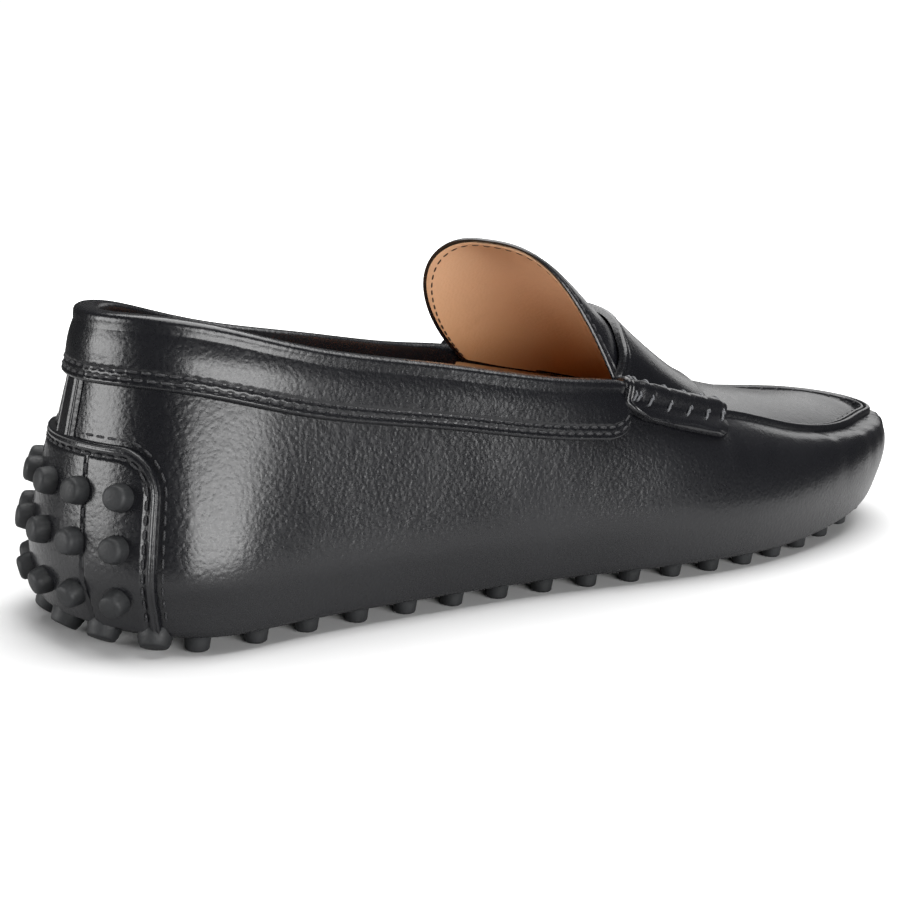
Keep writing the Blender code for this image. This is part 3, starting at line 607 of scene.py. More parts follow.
def makeUpper():
    angle = signedTurn(0, 2 * math.pi, upperLook["stations"], False)[:, None]
    level, top = levelNormal(topRing, angle), topRing(angle)
    rise = 1 - np.linspace(1, 0, 66)[None, :] ** 1.25
    inward = (np.linspace(1, 0, 16)[None, :-1, None]) ** 1.8
    under = underside(angle, inward, leatherFoot, leatherFoot - leatherSizes["pebbleHeight"])
    side = wallSurface(angle, rise)
    radius = wallThickness / 2
    arch = np.linspace(0, math.pi, 8)[None, :, None]
    lean = upperLook["lipLean"] * fade(shareOf(angle), last["throatShare"], 0.05)[..., None]
    straight = np.linspace(0.3, 1, 3)[None, :, None] * (lipHeight - radius)
    lipOut = top + straight * upward - lean * straight / lipHeight * level
    centre = top + (lipHeight - radius) * upward - (radius + lean) * level
    over = centre + radius * (np.cos(arch) * level + np.sin(arch) * upward)
    back = np.linspace(1, 0, 14)[None, :]
    inside = wall(angle, back) - wallThickness * wallNormal(angle, back)
    home = np.linspace(0, 1, 8)[None, 1:, None] ** 1.5
    floor = underside(angle, home, plateTop, 0.0) - wallThickness * (1 - home) * level * 0.5
    grid = np.concatenate([under, side, lipOut[:, :-1], over, inside, floor], 1)
    return makePiece("upper_leather", grid, gridFaces(*grid.shape[:2], closed=True), upperFinish,
                     "black_leather", ["upper"])


# Pebbles under the sole and at the heel, one template carried to each place
pebbleLook = {
    "width": 5.8 * mm, "pitch": 13.6 * mm, "rowSpacing": 13.0 * mm, "rowInset": 7.7 * mm,
    "phase": 0.08, "clear": 7.4 * mm, "keptInset": 3.4 * mm, "keptPitch": 11.4 * mm,
    "cornerCount": 5, "cornerInset": 1.2 * mm, "cornerPitch": 12.0 * mm, "cornerWidth": 7.0 * mm,
    "cornerSplay": 30.0, "heelColumns": 5, "heelRows": 3, "heelWidth": 6.0 * mm,
    "heelHeight": 3.2 * mm, "heelPitch": 10.8 * mm, "heelRise": 10.3 * mm, "heelLowest": 12.2 * mm,
    "segments": 26,
}


def plateOutline(angle, inset):
    def foot(turn):
        return girthRing(turn, leatherSizes["plateInset"], 0.0, 0.0)
    return foot(angle) - inset * levelNormal(foot, angle)


def rowLine(inset):
    line = plateOutline(signedTurn(0, 2 * math.pi, 721), inset)
    return line, runAlong(line)[-1]


def rowPoints(inset, phase):
    # even pitch along a closed line drawn in from the plate's edge
    line, length = rowLine(inset)
    count = round(length / pebbleLook["pitch"])
    return atDistances(line, (np.arange(count) + phase) * length / count)[:, :2]


def centred(count, pitch):
    return (np.arange(count) - (count - 1) / 2) * pitch


def cornerPoints(inset, pitch):
    line, length = rowLine(inset)
    return atDistances(line, np.mod(centred(pebbleLook["cornerCount"], pitch), length))[:, :2]


def fieldPoints():
    # cross lines that step by half a pitch, inside the two outer rows
    reach = pebbleLook["rowInset"] - leatherSizes["plateInset"] + 2 * pebbleLook["rowSpacing"]
    lines = round(last["shoeLength"] / pebbleLook["rowSpacing"])
    places = []
    for i in range(2, lines - 1):
        outer, inner = plateOutline(atShare(i / lines), reach), plateOutline(-atShare(i / lines), reach)
        free = inner[1] - outer[1]
        if free < -0.35 * pebbleLook["rowSpacing"]:
            continue
        count = max(0, round(free / pebbleLook["pitch"] - 0.5 * (i % 2))) + 1
        middle = (outer[1] + inner[1]) / 2
        places += [(outer[0], middle + step) for step in centred(count, pebbleLook["pitch"])]
    return np.array(places)


def pebbles(roots, directions, width, height, sunk, edge=0.65 * mm, flare=1.05):
    # turned stud: slightly flared foot, slight taper, rounded rim and a faintly domed cap
    roots, directions = np.atleast_2d(roots), unit(np.atleast_2d(directions))
    height = np.broadcast_to(height, len(roots))[:, None, None]
    radius, dome = width / 2, 0.09 * mm
    bend = np.linspace(0, math.pi / 2, 5)
    tip = 0.90 * radius
    away = np.concatenate([[radius, radius * flare, radius, radius * 0.965],
                           tip - edge + edge * np.cos(bend), [0.5 * tip, 0.0]])[None, :, None]
    # four rings stand at fixed heights over the root, seven hang from the tip
    fixed = np.array([-sunk, 0.0, 0.35 * mm, 1.2 * mm] + [0.0] * 7)[None, :, None]
    fromTip = np.concatenate([np.zeros(4), -edge + edge * np.sin(bend), [0.06 * mm, dome]])
    onTip = np.array([0.0] * 4 + [1.0] * 7)[None, :, None]
    along = fixed + onTip * (height - dome) + fromTip[None, :, None]
    turn = np.linspace(0, 2 * math.pi, pebbleLook["segments"] + 1)[None, None, :]
    side = unit(np.cross(directions, [0.21, 0.93, 0.3]))
    up = np.cross(directions, side)
    points = (roots[:, None, None] + along[..., None] * directions[:, None, None]
              + (away * np.cos(turn))[..., None] * side[:, None, None]
              + (away * np.sin(turn))[..., None] * up[:, None, None])
    rows, columns = points.shape[1:3]
    foot = roots[:, None] - sunk * directions[:, None]
    ring = np.arange(columns - 1)
    middle = np.full(columns - 1, rows * columns)
    caps = np.stack([ring, ring + 1, middle, middle], -1)
    points = np.concatenate([points.reshape(len(roots), -1, 3), foot], 1)
    step = points.shape[1] * np.arange(len(roots))[:, None, None]
    faces = np.concatenate([gridFaces(rows, columns)[:, ::-1], caps[:, ::-1]])
    faces = (faces[None] + step).reshape(-1, 4)
    return points.reshape(-1, 3), [tuple(dict.fromkeys(face)) for face in faces.tolist()]


def makeSolePebbles():
    look, sunk = pebbleLook, 0.9 * leatherSizes["plate"]
    first = look["rowInset"] - leatherSizes["plateInset"]
    # the solid's own corner spots keep the rows clear
    taken = list(cornerPoints(look["keptInset"], look["keptPitch"]))
    rows = [rowPoints(first, look["phase"]),
            rowPoints(first + look["rowSpacing"], look["phase"] + 0.5), fieldPoints()]
    for spot in np.concatenate(rows):
        if np.linalg.norm(np.array(taken) - spot, axis=1).min() > look["clear"]:
            taken.append(spot)
    x, y = np.array(taken[look["cornerCount"]:]).T
    small = 0.5 * mm
    slope = (rocker(x + small) - rocker(x - small)) / (2 * small)
    down = np.stack([slope, 0 * slope, -np.ones_like(slope)], -1)
    base = leatherSizes["pebbleHeight"]
    plain = pebbles(np.stack([x, y, base + rocker(x)], -1), down, look["width"], base, sunk)
    # the corner pebbles stand a little further out than the solid's and splay more
    splay = math.radians(look["cornerSplay"])
    x, y = cornerPoints(look["cornerInset"], look["cornerPitch"]).T
    toward = unit(np.stack([x - last["heelWidth"] / 2, y, 0 * x], -1)) * math.sin(splay)
    toward = toward - upward * math.cos(splay)
    high = base + rocker(x)
    length = (high - look["cornerWidth"] / 2 * math.sin(splay)) / math.cos(splay)
    splayed = pebbles(np.stack([x, y, high], -1), toward, look["cornerWidth"], length, sunk)
    return makePiece("sole_pebbles", *joined([plain, splayed]), pebbleRubber, "black_rubber", ["sole"])


# Heel patch: thin leather with a ridged edge, stitch rows and a centre tab
patchLook = {
    "leather": 1.3 * mm, "height": 43.0 * mm, "reach": 30.0 * mm, "radius": 10.0 * mm,
    "edge": 0.5 * mm, "ridge": 0.24 * mm, "ridges": [0.45 * mm, 1.45 * mm], "ridgeWidth": 0.33 * mm,
    "rowAt": 2.6 * mm, "rowDepth": 0.42 * mm, "outsideRow": -1.1 * mm, "tabTop": 11.3 * mm,
    "tabFoot": 15.3 * mm, "tabDepth": 0.40 * mm, "tabWidth": 0.42 * mm,
}


def patchTop(run):
    turn = np.clip(1 - (patchLook["reach"] - np.abs(run)) / patchLook["radius"], 0, 1)
    return patchLook["height"] - patchLook["radius"] * (1 - np.sqrt(1 - turn ** 2))


def patchDistance(run, height):
    # distance inside a shape with straight sides and rounded top corners
    radius = patchLook["radius"]
    x = np.abs(run) - (patchLook["reach"] - radius)
    z = height - (patchLook["height"] - radius)
    outside = np.hypot(np.maximum(x, 0), np.maximum(z, 0))
    return radius - outside - np.minimum(np.maximum(x, z), 0)


def heelPlaces():
    columns = centred(pebbleLook["heelColumns"], pebbleLook["heelPitch"])
    run, row = np.meshgrid(columns, np.arange(pebbleLook["heelRows"]), indexing="ij")
    turned = heelAngle(run.reshape(-1))
    height = pebbleLook["heelLowest"] + row.reshape(-1) * pebbleLook["heelRise"]
    return turned, riseAt(turned, height)


def tabLine(height):
    share = np.clip(1 - height / patchLook["height"], 0, 1)
    return patchLook["tabTop"] + (patchLook["tabFoot"] - patchLook["tabTop"]) * share


def bothEnds(count, power=1.6):
    # 0 to 1, closer together towards both ends
    t = np.linspace(-1, 1, count)
    return 0.5 + 0.5 * np.sign(t) * (1 - (1 - np.abs(t)) ** power)


def makeHeelPatch():
    look = patchLook
    run = (2 * bothEnds(230, 1.4) - 1)[:, None] * look["reach"]
    angle = heelAngle(run)
    top = riseAt(angle[:, 0], patchTop(run[:, 0]))[:, None]
    rise = top * (1 - (1 - np.linspace(0, 1, 120)) ** 1.3)
    base, normal = framedWall(angle, rise)
    height = base[..., 2]
    inside = np.clip(patchDistance(run, height), 0, None)
    lift = look["leather"] * roundedEdge(inside, look["edge"])
    for at in look["ridges"]:
        lift = lift + look["ridge"] * bell(inside - at, look["ridgeWidth"])
    lift = lift - look["rowDepth"] * bell(inside - look["rowAt"], 0.5 * mm)
    groove = bell(np.abs(np.abs(run) - tabLine(height)), look["tabWidth"])
    lift = lift - look["tabDepth"] * groove * fade(inside, look["rowAt"], mm)
    border = smooth(np.minimum(inside, look["leather"]) / (0.05 * mm))
    return makePiece("heel_patch_leather", *rounded(lift * border, base, normal), patchFinish,
                     "black_leather", ["heel_patch"])


def makeHeelPebbles():
    root, normal = framedWall(*heelPlaces())
    studs = pebbles(root + (gap + patchLook["leather"]) * normal, normal, pebbleLook["heelWidth"],
                    pebbleLook["heelHeight"], patchLook["leather"], edge=1.1 * mm, flare=1.0)
    return makePiece("heel_pebbles", *studs, pebbleRubber, "black_rubber")


fineThread = {
    "pitch": 2.9 * mm, "length": 2.5 * mm, "width": 0.62 * mm, "rise": 0.02 * mm, "dive": 0.35 * mm,
}


def wallRow(angle, rise, out, phase=0.5):
    # a row of fine stitches on the wall, its path standing out by a distance
    path, normal = framedWall(angle, rise)
    return stitchRow(path + out * normal, normal, fineThread, phase)


def patchOutline(inset, count=260):
    # up one side, round the corners and down the other, drawn in by the inset
    radius = patchLook["radius"] - inset
    reach, high = patchLook["reach"] - inset, patchLook["height"] - inset
    quarter = np.linspace(0, math.pi / 2, 24)
    run = np.concatenate([[reach, reach], reach - radius + radius * np.cos(quarter)])
    height = np.concatenate([[7.5 * mm, 20 * mm], high - radius + radius * np.sin(quarter)])
    run = np.concatenate([-run, run[::-1]])
    height = np.concatenate([height, height[::-1]])
    flat = np.stack([run, height, 0 * run], -1)
    return atDistances(flat, np.linspace(0, runAlong(flat)[-1], count))[:, :2]


def makePatchStitches():
    onPatch, rows = gap + 0.95 * mm, []
    for inset, out in [(patchLook["rowAt"], onPatch), (patchLook["outsideRow"], 0.05 * mm)]:
        run, height = patchOutline(inset).T
        angle = heelAngle(run)
        rows.append(wallRow(angle, riseAt(angle, height), out))
    for side in (-1, 1):
        height = np.linspace(39.0 * mm, 24 * mm, 40)
        angle = heelAngle(side * tabLine(height))
        rows.append(wallRow(angle, riseAt(angle, height), onPatch))
    return makePiece("patch_stitches", *joined(rows), blackThread, "black_leather")


# Backstay: narrow strip up the centre back, from the patch to under the collar band
stayLook = {
    "half": 4.2 * mm, "leather": 1.0 * mm, "edge": 0.6 * mm, "rowAt": 1.6 * mm, "rowDepth": 0.25 * mm,
    "underPatch": 1.2 * mm, "underBand": 1.5 * mm,
}


def makeBackstay():
    look = stayLook
    across = np.linspace(-1, 1, 40) * look["half"]
    angle = heelAngle(across)
    low = riseAt(angle, patchLook["height"] - look["underPatch"])
    high = riseAt(angle, lipTop(angle) - bandLook["depth"] + look["underBand"])
    rise = low[:, None] + (high - low)[:, None] * np.linspace(0, 1, 30)[None, :]
    inside = (look["half"] - np.abs(across))[:, None]
    lift = look["leather"] * roundedEdge(inside, look["edge"])
    lift = lift - look["rowDepth"] * bell(inside - look["rowAt"], 0.4 * mm)
    return makePiece("backstay_leather", *rounded(lift + 0 * rise, *framedWall(angle[:, None], rise)),
                     patchFinish, "black_leather", ["backstay"])


# Collar band: folded over the topline, two sewn rows close to its lower edge
bandLook = {
    "leather": 1.3 * mm, "depth": 13.2 * mm, "fold": 5.0 * mm, "pad": 0.25 * mm, "padFrom": 4.6 * mm,
    "edge": 0.7 * mm, "stop": 0.467, "rounding": 0.03, "rows": [1.6 * mm, 3.2 * mm],
    "rowDepth": 0.38 * mm, "rowWidth": 0.62 * mm,
}


def bandFoot(angle, end):
    toEnd = (end - np.abs(angle)) / (end - atShare(bandLook["stop"] - bandLook["rounding"]))
    rounding = np.sqrt(1 - np.clip(1 - toEnd, 0, 1) ** 2)
    return riseAt(angle, lipTop(angle) - bandLook["depth"] * (0.55 + 0.45 * rounding))


def makeCollarBand():
    look, end = bandLook, atShare(bandLook["stop"])
    angle = np.linspace(-end, end, 860)
    foot = bandFoot(angle, end)[:, None]
    outer, inside = gap + look["leather"], wallThickness + gap
    rise = foot + (1 - foot) * (np.linspace(0, 1, 40) ** 1.15)[None, :]
    near = riseAt(angle, lipTop(angle) - look["fold"])[:, None]
    angle = angle[:, None]
    base, normal = framedWall(angle, rise)
    height = np.linalg.norm(base - base[:, :1], axis=-1)
    lift = gap + look["leather"] * roundedEdge(height, look["edge"])
    padded = np.clip((height - look["padFrom"]) / (height[:, -1:] - look["padFrom"]), 0, 1)
    lift = lift + look["pad"] * np.sin(math.pi * padded)
    for i, row in enumerate(look["rows"]):
        dents = 0.8 + 0.2 * np.cos(2 * math.pi * (runOf(angle) / fineThread["pitch"] + 0.5 * i))
        lift = lift - look["rowDepth"] * bell(height - row, look["rowWidth"]) * dents
    front = base + lift[..., None] * normal
    # over the edge in a squarish arch
    level, top = levelNormal(topRing, angle), topRing(angle)
    wide = (outer + outer + wallThickness + 2 * gap) / 2 - gap
    bend = np.linspace(0, math.pi, 15)[None, :, None]
    crest = top + upward * lipHeight * 0.8 - level * (wide - outer)
    square = np.sign(np.cos(bend)) * np.abs(np.cos(bend)) ** 0.75
    climb = (0.95 * outer + 0.2 * lipHeight) * upward
    over = crest + wide * square * level + np.sin(bend) ** 0.7 * climb
    # down inside, and back up round the wall and its lip
    down = 1 - (1 - near) * np.linspace(0.1, 1, 8)[None, :]
    point, normalIn = framedWall(angle, down)
    back = point - (wallThickness + outer) * normalIn
    hidden = (point - inside * normalIn)[:, ::-1]
    overLip = top + upward * (lipHeight + gap)
    behind = (base + gap * normal)[:, ::-4]
    grid = np.concatenate([front, over, back, hidden, overLip - level * inside, overLip + level * gap,
                           behind, front[:, :1]], 1)
    rows, columns = grid.shape[:2]
    ring = list(range(columns - 1))
    faces = gridFaces(rows, columns).tolist()
    faces += [tuple(ring), tuple((rows - 1) * columns + v for v in reversed(ring))]
    return makePiece("collar_band_leather", grid, faces, bandFinish, "black_leather", ["collar_band"])


def makeBandStitches():
    end = atShare(bandLook["stop"])
    angle = np.linspace(-end * 0.995, end * 0.995, 900)
    foot = bandFoot(angle, end)
    length = np.linalg.norm(wall(angle, foot + 0.05) - wall(angle, foot), axis=-1) / 0.05
    out = gap + bandLook["leather"] - 0.22 * mm
    rows = [wallRow(angle, foot + row / length, out, 0.25 + 0.5 * i)
            for i, row in enumerate(bandLook["rows"])]
    return makePiece("band_stitches", *joined(rows), blackThread, "black_leather")


# Apron and tongue lie on the instep; the apron's lip stands against the upper's lip
plugLook = {"sheet": 1.4 * mm, "nose": 0.02, "lipTop": 1.9 * mm, "lipLean": 0.22 * mm}
# underside and top of the lip's fillet: distance in from the seam and height over it
plugFillet = np.array([(5.8, -0.55), (5.0, -0.10), (4.35, 0.35), (3.9, 0.80), (3.68, 1.20)]) * mm
plugUnder = np.array([(2.25, 0.0), (2.25, -1.2), (3.6, -1.5), (5.8, -1.2), (5.8, -0.55)]) * mm
tongueLook = {
    "reach": 25.6 * mm, "tilt": 0.70, "leather": 0.75 * mm, "rim": 0.15 * mm, "stitchAt": 2.6 * mm,
    "stitchDepth": 0.30 * mm, "liningTop": 0.78 * mm, "liningFoot": 1.55 * mm,
}


def sheetOn(share, across, under, over, edge):
    # sheet between two depths below the instep surface, rounded at its edges
    base, normal = framedInstep(share, across)
    middle = (under + over) / 2
    half = (under - over) / 2 * roundedEdge(edge, (under - over) / 2)
    return pillow(base - (middle + half)[..., None] * normal,
                  base - (middle - half)[..., None] * normal)


def edgeOf(grid):
    # distance of each grid point from the sheet's borders, measured along its own lines
    along, over = np.zeros(grid.shape[:2]), np.zeros(grid.shape[:2])
    along[1:] = np.cumsum(np.linalg.norm(np.diff(grid, axis=0), axis=-1), 0)
    over[:, 1:] = np.cumsum(np.linalg.norm(np.diff(grid, axis=1), axis=-1), 1)
    return along, along[-1:] - along, over, over[:, -1:] - over


def makeApron():
    start = atShare(last["joinShare"])
    share = shareOf(np.linspace(start, math.pi - plugLook["nose"], 150))[:, None]
    share, across = np.broadcast_arrays(share, (2 * bothEnds(90, 1.3) - 1)[None, :])
    edge = np.minimum.reduce(edgeOf(instep(share, across)))
    body = sheetOn(share, across, plugLook["sheet"], 0.0, edge)
    # the lip: up the fillet, over its round top and down the face that meets the upper
    angle = signedTurn(start, 2 * math.pi - start, 420)[:, None]
    inset = wallThickness + leatherSizes["plugGap"]
    high, half = plugLook["lipTop"], plugLook["sheet"] / 2
    bend = np.linspace(math.pi, 0, 8)
    crest = np.stack([inset + half - half * np.cos(bend), high - half + half * np.sin(bend)], -1)
    depth, rise = np.concatenate([plugFillet, crest, plugUnder]).T
    lean = plugLook["lipLean"] * np.clip(rise / high, 0, 1)
    lip = topRing(angle) - (depth - lean)[None, :, None] * levelNormal(topRing, angle)
    lip = lip + rise[None, :, None] * upward
    rows, columns = lip.shape[:2]
    ring = range(columns - 1)
    caps = [tuple(reversed(ring)), tuple((rows - 1) * columns + v for v in ring)]
    rim = (lip, gridFaces(rows, columns)[:, ::-1].tolist() + caps)
    return makePiece("apron_leather", *joined([body, rim]), upperFinish, "black_leather", ["apron"])


def tongueRear(across):
    reach = tongueLook["reach"] / last["shoeLength"] * (1 + tongueLook["tilt"] * across)
    return last["throatShare"] + 2 * gap / last["shoeLength"] - reach * (1 - np.abs(across) ** 3)


def tongueGrid(rows, columns, front, inset=0.0):
    across = (2 * bothEnds(columns, 1.3) - 1)[None, :]
    run = (1 - (1 - np.linspace(0, 1, rows)) ** 0.8)[:, None]
    rear = tongueRear(across) + inset / last["shoeLength"]
    return np.broadcast_arrays(rear + (front - rear) * run, across)


def makeTongue():
    look = tongueLook
    share, across = tongueGrid(110, 90, last["joinShare"])
    base, normal = framedInstep(share, across)
    rear, front, outerSide, innerSide = edgeOf(base)
    edge = np.minimum(np.minimum(rear, front), np.minimum(outerSide, innerSide) + 1 * mm)
    top = look["rim"] * bell(rear - 1.0 * mm, 0.8 * mm)
    top = top - look["stitchDepth"] * bell(rear - look["stitchAt"], 0.5 * mm)
    full, half = roundedEdge(edge, 0.7 * mm), look["leather"] / 2
    over = base + (full * (half + top) - half)[..., None] * normal
    under = base + (-full * half - half)[..., None] * normal
    return makePiece("tongue_leather", *pillow(under, over), strapFinish, "black_leather", ["tongue"])


def makeVampLining():
    # tan lining under tongue and apron, set in from the tongue's edge
    share, across = tongueGrid(150, 80, 0.985, inset=0.5 * mm)
    across = across * 0.985
    edge = np.minimum(*edgeOf(instep(share, across))[:2])
    sheet = sheetOn(share, across, tongueLook["liningFoot"], tongueLook["liningTop"], edge)
    return makePiece("vamp_lining", *sheet, liningLeather, "tan_leather")


def makeTongueStitches():
    across = np.linspace(-0.97, 0.97, 400)
    share = tongueRear(across) + tongueLook["stitchAt"] / last["shoeLength"]
    path, normal = framedInstep(share, across)
    outerRow = stitchRow(path - 0.22 * mm * normal, normal, fineThread)
    innerRow = stitchRow(path - 1.52 * mm * normal, -normal, {**fineThread, "width": 0.5 * mm})
    makePiece("tongue_stitches", *outerRow, blackThread, "black_leather")
    return makePiece("lining_stitches", *innerRow, brownThread, "tan_leather")


# Saddle strap: over the instep, over the raised seam and down the wings
strapLook = {
    "leather": 1.8 * mm, "wing": 5.4 * mm, "wingDrops": [0.16, 0.60, 1.0], "slotWidth": 25.0 * mm,
    "slotOpening": 4.5 * mm, "slotShare": 0.587, "edge": 0.9 * mm, "rimAt": 2.1 * mm,
    "rimDepth": 0.24 * mm, "endAt": 1.5 * mm, "bulge": 0.18 * mm, "frontThin": 1.0 * mm,
    "frontRun": 5.0 * mm, "sag": 0.22 * mm, "sagWidth": 1.2 * mm, "rows": 150, "columns": 300,
}
# each whip: share at the lip, share and drop in mm at its lower end
whips = np.array([(0.473, 0.468, 1.6), (0.4785, 0.4725, 1.6), (0.494, 0.486, 2.3), (0.518, 0.509, 2.6),
                  (0.546, 0.534, 2.6), (0.573, 0.560, 2.7), (0.598, 0.584, 2.5)])
# edges of the strap over the instep: across, rear share, front share
strapTop = np.array([(0.00, 0.501, 0.662), (0.20, 0.501, 0.655), (0.40, 0.500, 0.644),
                     (0.60, 0.495, 0.633), (0.80, 0.485, 0.623), (0.90, 0.477, 0.618)])
# and down the side: over the plug's lip, over the wall's lip, then three heights of the wing
strapSide = np.array([(0.466, 0.613), (0.461, 0.609), (0.459, 0.606), (0.462, 0.598), (0.484, 0.580)])


def strapControl(side, run):
    # control lines from the crest to the wing's foot, each at the runs from rear to front
    free = leatherSizes["strapGap"]
    lines = []
    for across, rear, front in strapTop:
        share = rear + (front - rear) * run
        point, normal = framedInstep(share, np.full_like(share, side * across))
        lines.append(point + free * normal)
    for k, (rear, front) in enumerate(strapSide):
        angle = -side * atShare(rear + (front - rear) * run)
        if k < 2:
            inward = (plugInset + free, -free)[k]
            lines.append(seamLine(angle, inward) + upward * (lipHeight + free))
        else:
            drop = strapLook["wingDrops"][k - 2] * strapLook["wing"]
            point, normal = framedWall(angle, riseAt(angle, topRing(angle)[:, 2] - drop))
            lines.append(point + free * normal)
    return lines


def strapBase():
    # spline across through the control lines, evenly spaced along its own length
    run = np.linspace(0, 1, 25)
    lines = strapControl(-1, run)[:0:-1] + strapControl(1, run)
    control = np.stack(lines, 1)
    lengths = np.linalg.norm(np.diff(control, axis=1), axis=-1).mean(0)
    knots = np.concatenate([[0], np.cumsum(lengths)])
    at = np.linspace(0, knots[-1], strapLook["columns"])
    over = np.stack([splineThrough(knots, line, at) for line in control])
    fine = [np.linspace(0, 1, strapLook["rows"])]
    fine += [np.linspace(low, low + 0.06, 10)[1:-1] for low in (0, 0.94)]
    fine = np.sort(np.concatenate(fine))
    base = splineThrough(run, over.reshape(len(run), -1), fine).reshape(len(fine), -1, 3)
    return base, at - knots[-1] / 2, knots[-1] / 2 - knots[3]


def makeStrap():
    look = strapLook
    base, over, lipAt = strapBase()
    normal = unit(np.cross(unit(np.gradient(base, axis=0)), unit(np.gradient(base, axis=1))))
    rear, front, outerEnd, innerEnd = edgeOf(base)
    ends = np.minimum(outerEnd, innerEnd)
    # the slot: how far each point lies outside its lens shape
    before, slot, after = instep(np.array([0.57, look["slotShare"], 0.60]), np.zeros(3))
    away = base - slot
    x, y = away @ unit(after - before), away[..., 1]
    lens = np.sqrt(np.clip(1 - (2 * y / look["slotWidth"]) ** 2, 0, 1))
    near = (np.abs(away[..., 2]) < 12 * mm) & (np.abs(y) < look["slotWidth"] / 2)
    outside = np.where(near, np.abs(x) - 0.5 * look["slotOpening"] * lens, np.inf)
    edge = np.minimum.reduce([rear, front, ends, np.clip(outside, 0, None)])
    lift = look["leather"] * roundedEdge(edge, look["edge"])
    rim = bell(rear - look["rimAt"], 0.4 * mm) + 0.7 * bell(ends - look["endAt"], 0.3 * mm)
    raised = bell(rear - 1.1 * mm, 0.6 * mm) + bell(np.abs(over) - lipAt, 0.7 * mm)
    lift = lift - look["rimDepth"] * rim + look["bulge"] * raised
    lift = lift - look["frontThin"] * smooth(1 - front / look["frontRun"])
    grid = base + (np.maximum(lift, 0.0) * (edge > 0))[..., None] * normal
    for side in (-1, 1):
        for share in whips[:, 0]:
            spot = topRing(-side * atShare(share)) + upward * lipHeight
            toSpot = np.linalg.norm((base - spot) * [1, 0.45, 0.45], axis=-1)
            grid = grid - (look["sag"] * bell(toSpot, look["sagWidth"]))[..., None] * normal
    return makePiece("strap_leather", *pillow(base, grid, outside < 0), strapFinish, "black_leather",
                     ["saddle_strap"])


def makeWhipStitches():
    # thread from behind the ridge, over it and down the wing to its hole; its grey is a painted sheen
    # on black thread
    parts = []
    out = leatherSizes["strapGap"] + strapLook["leather"]
    crest = lipHeight + out
    reach = np.array([0.3, 0.65, 0.93, 1.0])
    for side in (-1, 1):
        for share, foot, drop in whips:
            top, low = -side * atShare(share), -side * atShare(foot)
            ring, level = topRing(top), levelNormal(topRing, top)
            turned = top + (low - top) * reach
            rise = riseAt(turned, topRing(turned)[:, 2] - drop * mm * reach)
            point, normal = framedWall(turned, rise)
            keys = np.array([
                ring - level * 3.2 * mm + upward * (crest - 0.9 * mm),
                ring - level * 1.8 * mm + upward * (crest + 0.10 * mm),
                ring + level * 0.1 * mm + upward * (crest + 0.05 * mm),
                ring + level * (out + 0.1 * mm) + upward * 1.2 * mm,
                *(point + (out + np.array([0.30, 0.25, 0.10, -0.5]) * mm)[:, None] * normal),
            ])
            path = splineThrough(np.arange(len(keys)), keys, np.linspace(0, len(keys) - 1, 28))
            thin = np.clip(1 - np.abs(np.linspace(-1, 1, 28)) ** 8, 0, 1)
            parts.append(cordAlong(path, 0.36 * mm * np.sqrt(thin)))
    return makePiece("whip_stitches", *joined(parts), sheenPaintedThread, "black_leather")


def makeSeamStitches():
    # running stitch through both lips round the toe, seen outside and inside
    start = atShare(strapSide[1][1] + 0.01)
    angle = signedTurn(start, 2 * math.pi - start, 700)
    level = levelNormal(topRing, angle)
    thread = {"pitch": 5.8 * mm, "length": 2.2 * mm, "width": 0.7 * mm, "rise": 0.0, "dive": 0.4 * mm,
              "slant": 0.9}
    outside = seamLine(angle, -0.15 * mm) - upward * upperLook["stitchDrop"]
    inside = seamLine(angle, plugInset + 0.1 * mm) + upward * 0.75 * mm
    rows = [stitchRow(outside, level, thread), stitchRow(inside, -level, thread, 0.1)]
    return makePiece("seam_stitches", *joined(rows), blackThread, "black_leather")


# Inside: lining of the wall and the sock on the plate
def makeWallLining():
    angle = signedTurn(0, 2 * math.pi, 260, False)[:, None]
    base, normal = framedWall(angle, np.linspace(0, 0.985, 36)[None, :])
    near, far = (base - (wallThickness + depth * mm) * normal for depth in (0.12, 0.27))
    grid = np.concatenate([near, far[:, ::-1], near[:, :1]], 1)
    return makePiece("wall_lining", grid, gridFaces(*grid.shape[:2], closed=True), liningLeather,
                     "tan_leather")


def makeSock():
    inset = wallThickness + 2 * gap
    angle = np.linspace(0, math.pi, 140)
    outer, inner = plateOutline(angle, inset), plateOutline(-angle, inset)
    across = bothEnds(60, 1.5)[None, :, None]
    top = outer[:, None] + (inner - outer)[:, None] * across
    edge = np.minimum(*edgeOf(top)[2:])
    top[..., 2] = plateTop + gap + rocker(top[..., 0])
    under = top.copy()
    seam = -0.3 * mm * bell(edge - 4.0 * mm, 0.5 * mm) * (edge > 1 * mm)
    top[..., 2] += roundedEdge(edge, 1.2 * mm) * leatherSizes["insole"] + seam
    return makePiece("sock_leather", *pillow(under, top), liningLeather, "tan_leather", ["insole"])


for make in (makeUpper, makeSolePebbles, makeHeelPatch, makeHeelPebbles, makePatchStitches,
             makeBackstay, makeCollarBand, makeBandStitches, makeApron, makeTongue, makeVampLining,
             makeTongueStitches, makeStrap, makeWhipStitches, makeSeamStitches, makeWallLining,
             makeSock):
    make()

# Studio: white floor, soft boxes and the photograph's camera
studio = {
    "yaw": 41.705, "pitch": 11.420, "roll": 3.544, "focal": 1496.33, "width": 900.0, "sensor": 36.0,
    "from": (-138.248 * mm, -280.117 * mm, 106.262 * mm), "sky": 0.05, "backdrop": 1.05, "floor": 0.86,
    "reach": 4.0,
}


def stand(name, data, where, right, up, back):
    # an object whose own axes point the given ways
    holder = bpy.data.objects.new(name, data)
    matrix = Matrix.Identity(4)
    for k in range(3):
        matrix[k][0], matrix[k][1], matrix[k][2], matrix[k][3] = right[k], up[k], back[k], where[k]
    holder.matrix_world = matrix
    bpy.context.scene.collection.objects.link(holder)
    return holder


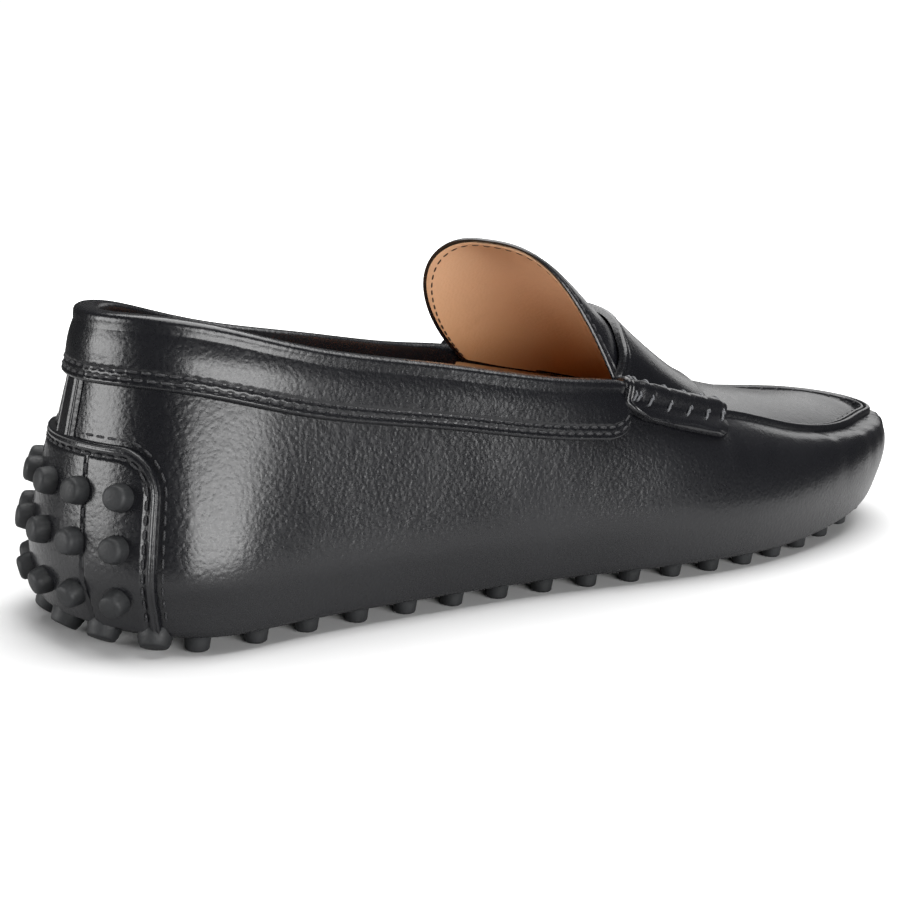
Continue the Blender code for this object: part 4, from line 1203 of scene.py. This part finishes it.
def makeCamera():
    yaw, pitch, roll = (math.radians(studio[key]) for key in ("yaw", "pitch", "roll"))
    flat = math.cos(pitch)
    forward = np.array([math.sin(yaw) * flat, math.cos(yaw) * flat, -math.sin(pitch)])
    level = np.array([math.cos(yaw), -math.sin(yaw), 0.0])
    upright = np.cross(level, forward)
    right = math.cos(roll) * level + math.sin(roll) * upright
    up = -math.sin(roll) * level + math.cos(roll) * upright
    camera = bpy.data.cameras.new("camera")
    camera.sensor_width = studio["sensor"]
    camera.lens = studio["sensor"] * studio["focal"] / studio["width"]
    camera.clip_start = 0.01
    bpy.context.scene.camera = stand("camera", camera, place + studio["from"], right, up, -forward)


# where each soft box stands, where it points, its size in metres and its power in watts
softBoxes = {
    "top_box": ((0.34, 0.20, 1.3), (0.2, 0.1, 0.0), (1.5, 1.7), 37),
    "front_box": ((-0.12, -0.68, 0.14), (-0.09, -0.03, 0.04), (0.68, 0.26), 4.6),
    "heel_box": ((-1.12, 0.36, 0.20), (-0.12, 0.0, 0.04), (0.75, 0.5), 7.8),
    "toe_box": ((1.05, 0.52, 0.35), (0.12, 0.0, 0.03), (0.4, 0.5), 0.6),
}


def makeLights():
    for name, (where, toward, size, power) in softBoxes.items():
        light = bpy.data.lights.new(name, "AREA")
        light.shape = "RECTANGLE"
        light.size, light.size_y = size
        light.energy = power
        back = unit(np.array(where, float) - np.array(toward, float))
        side = unit(np.cross(upward, back)) if abs(back[2]) < 0.99 else np.array([1.0, 0, 0])
        stand(name, light, where, side, np.cross(back, side), back)


def makeFloor():
    reach = studio["reach"]
    corners = [(-reach, -reach, 0), (reach, -reach, 0), (reach, reach, 0), (-reach, reach, 0)]
    mesh = bpy.data.meshes.new("floor")
    mesh.from_pydata(corners, [], [(0, 1, 2, 3)])
    paper = Recipe("floor_paper", {"Roughness": 0.9, "Specular IOR Level": 0.1,
                                   "Emission Strength": 1.0})
    white = paper.tones(paper.noise(3.0, 2.0), {"dark": (studio["floor"],) * 3,
                                                "light": (studio["floor"] + 0.02,) * 3})
    # the sweep: seen by the camera, the far floor glows up to white
    away = paper.add("ShaderNodeVectorMath", {"operation": "LENGTH"}, {0: paper.place}, output=1)
    seen = paper.add("ShaderNodeLightPath", output=0)
    glow = seen * paper.between(away, 0.20, 0.55)
    paper.feed("Emission Color", paper.tones(glow, {"dark": (0, 0, 0), "light": (1, 1, 1)}))
    # in reflections the paper is greyer and ends in the dark of the room
    dim = paper.tones(paper.between(away, 0.20, 0.40), {"dark": (0.52,) * 3, "light": (0.05,) * 3})
    paper.feed("Base Color", paper.mix(seen, dim, white))
    mesh.materials.append(paper.material)
    floor = bpy.data.objects.new("floor", mesh)
    bpy.context.scene.collection.objects.link(floor)


def makeRoom():
    # a faint sky for the light, and a white one behind what the camera sees
    world = bpy.data.worlds.new("studio")
    bpy.context.scene.world = world
    world.use_nodes = True
    tree = world.node_tree
    glow = tree.nodes["Background"]
    path = tree.nodes.new("ShaderNodeLightPath")
    level = tree.nodes.new("ShaderNodeMapRange")
    level.inputs[3].default_value, level.inputs[4].default_value = studio["sky"], studio["backdrop"]
    tree.links.new(path.outputs["Is Camera Ray"], level.inputs[0])
    tree.links.new(level.outputs[0], glow.inputs["Strength"])
    glow.inputs["Color"].default_value = (1, 1, 1, 1)


for make in (makeCamera, makeFloor, makeRoom, makeLights):
    make()
print("made the studio")
bpy.context.scene.view_settings.view_transform = "Standard"
bpy.context.view_layer.update()
print("pieces done")
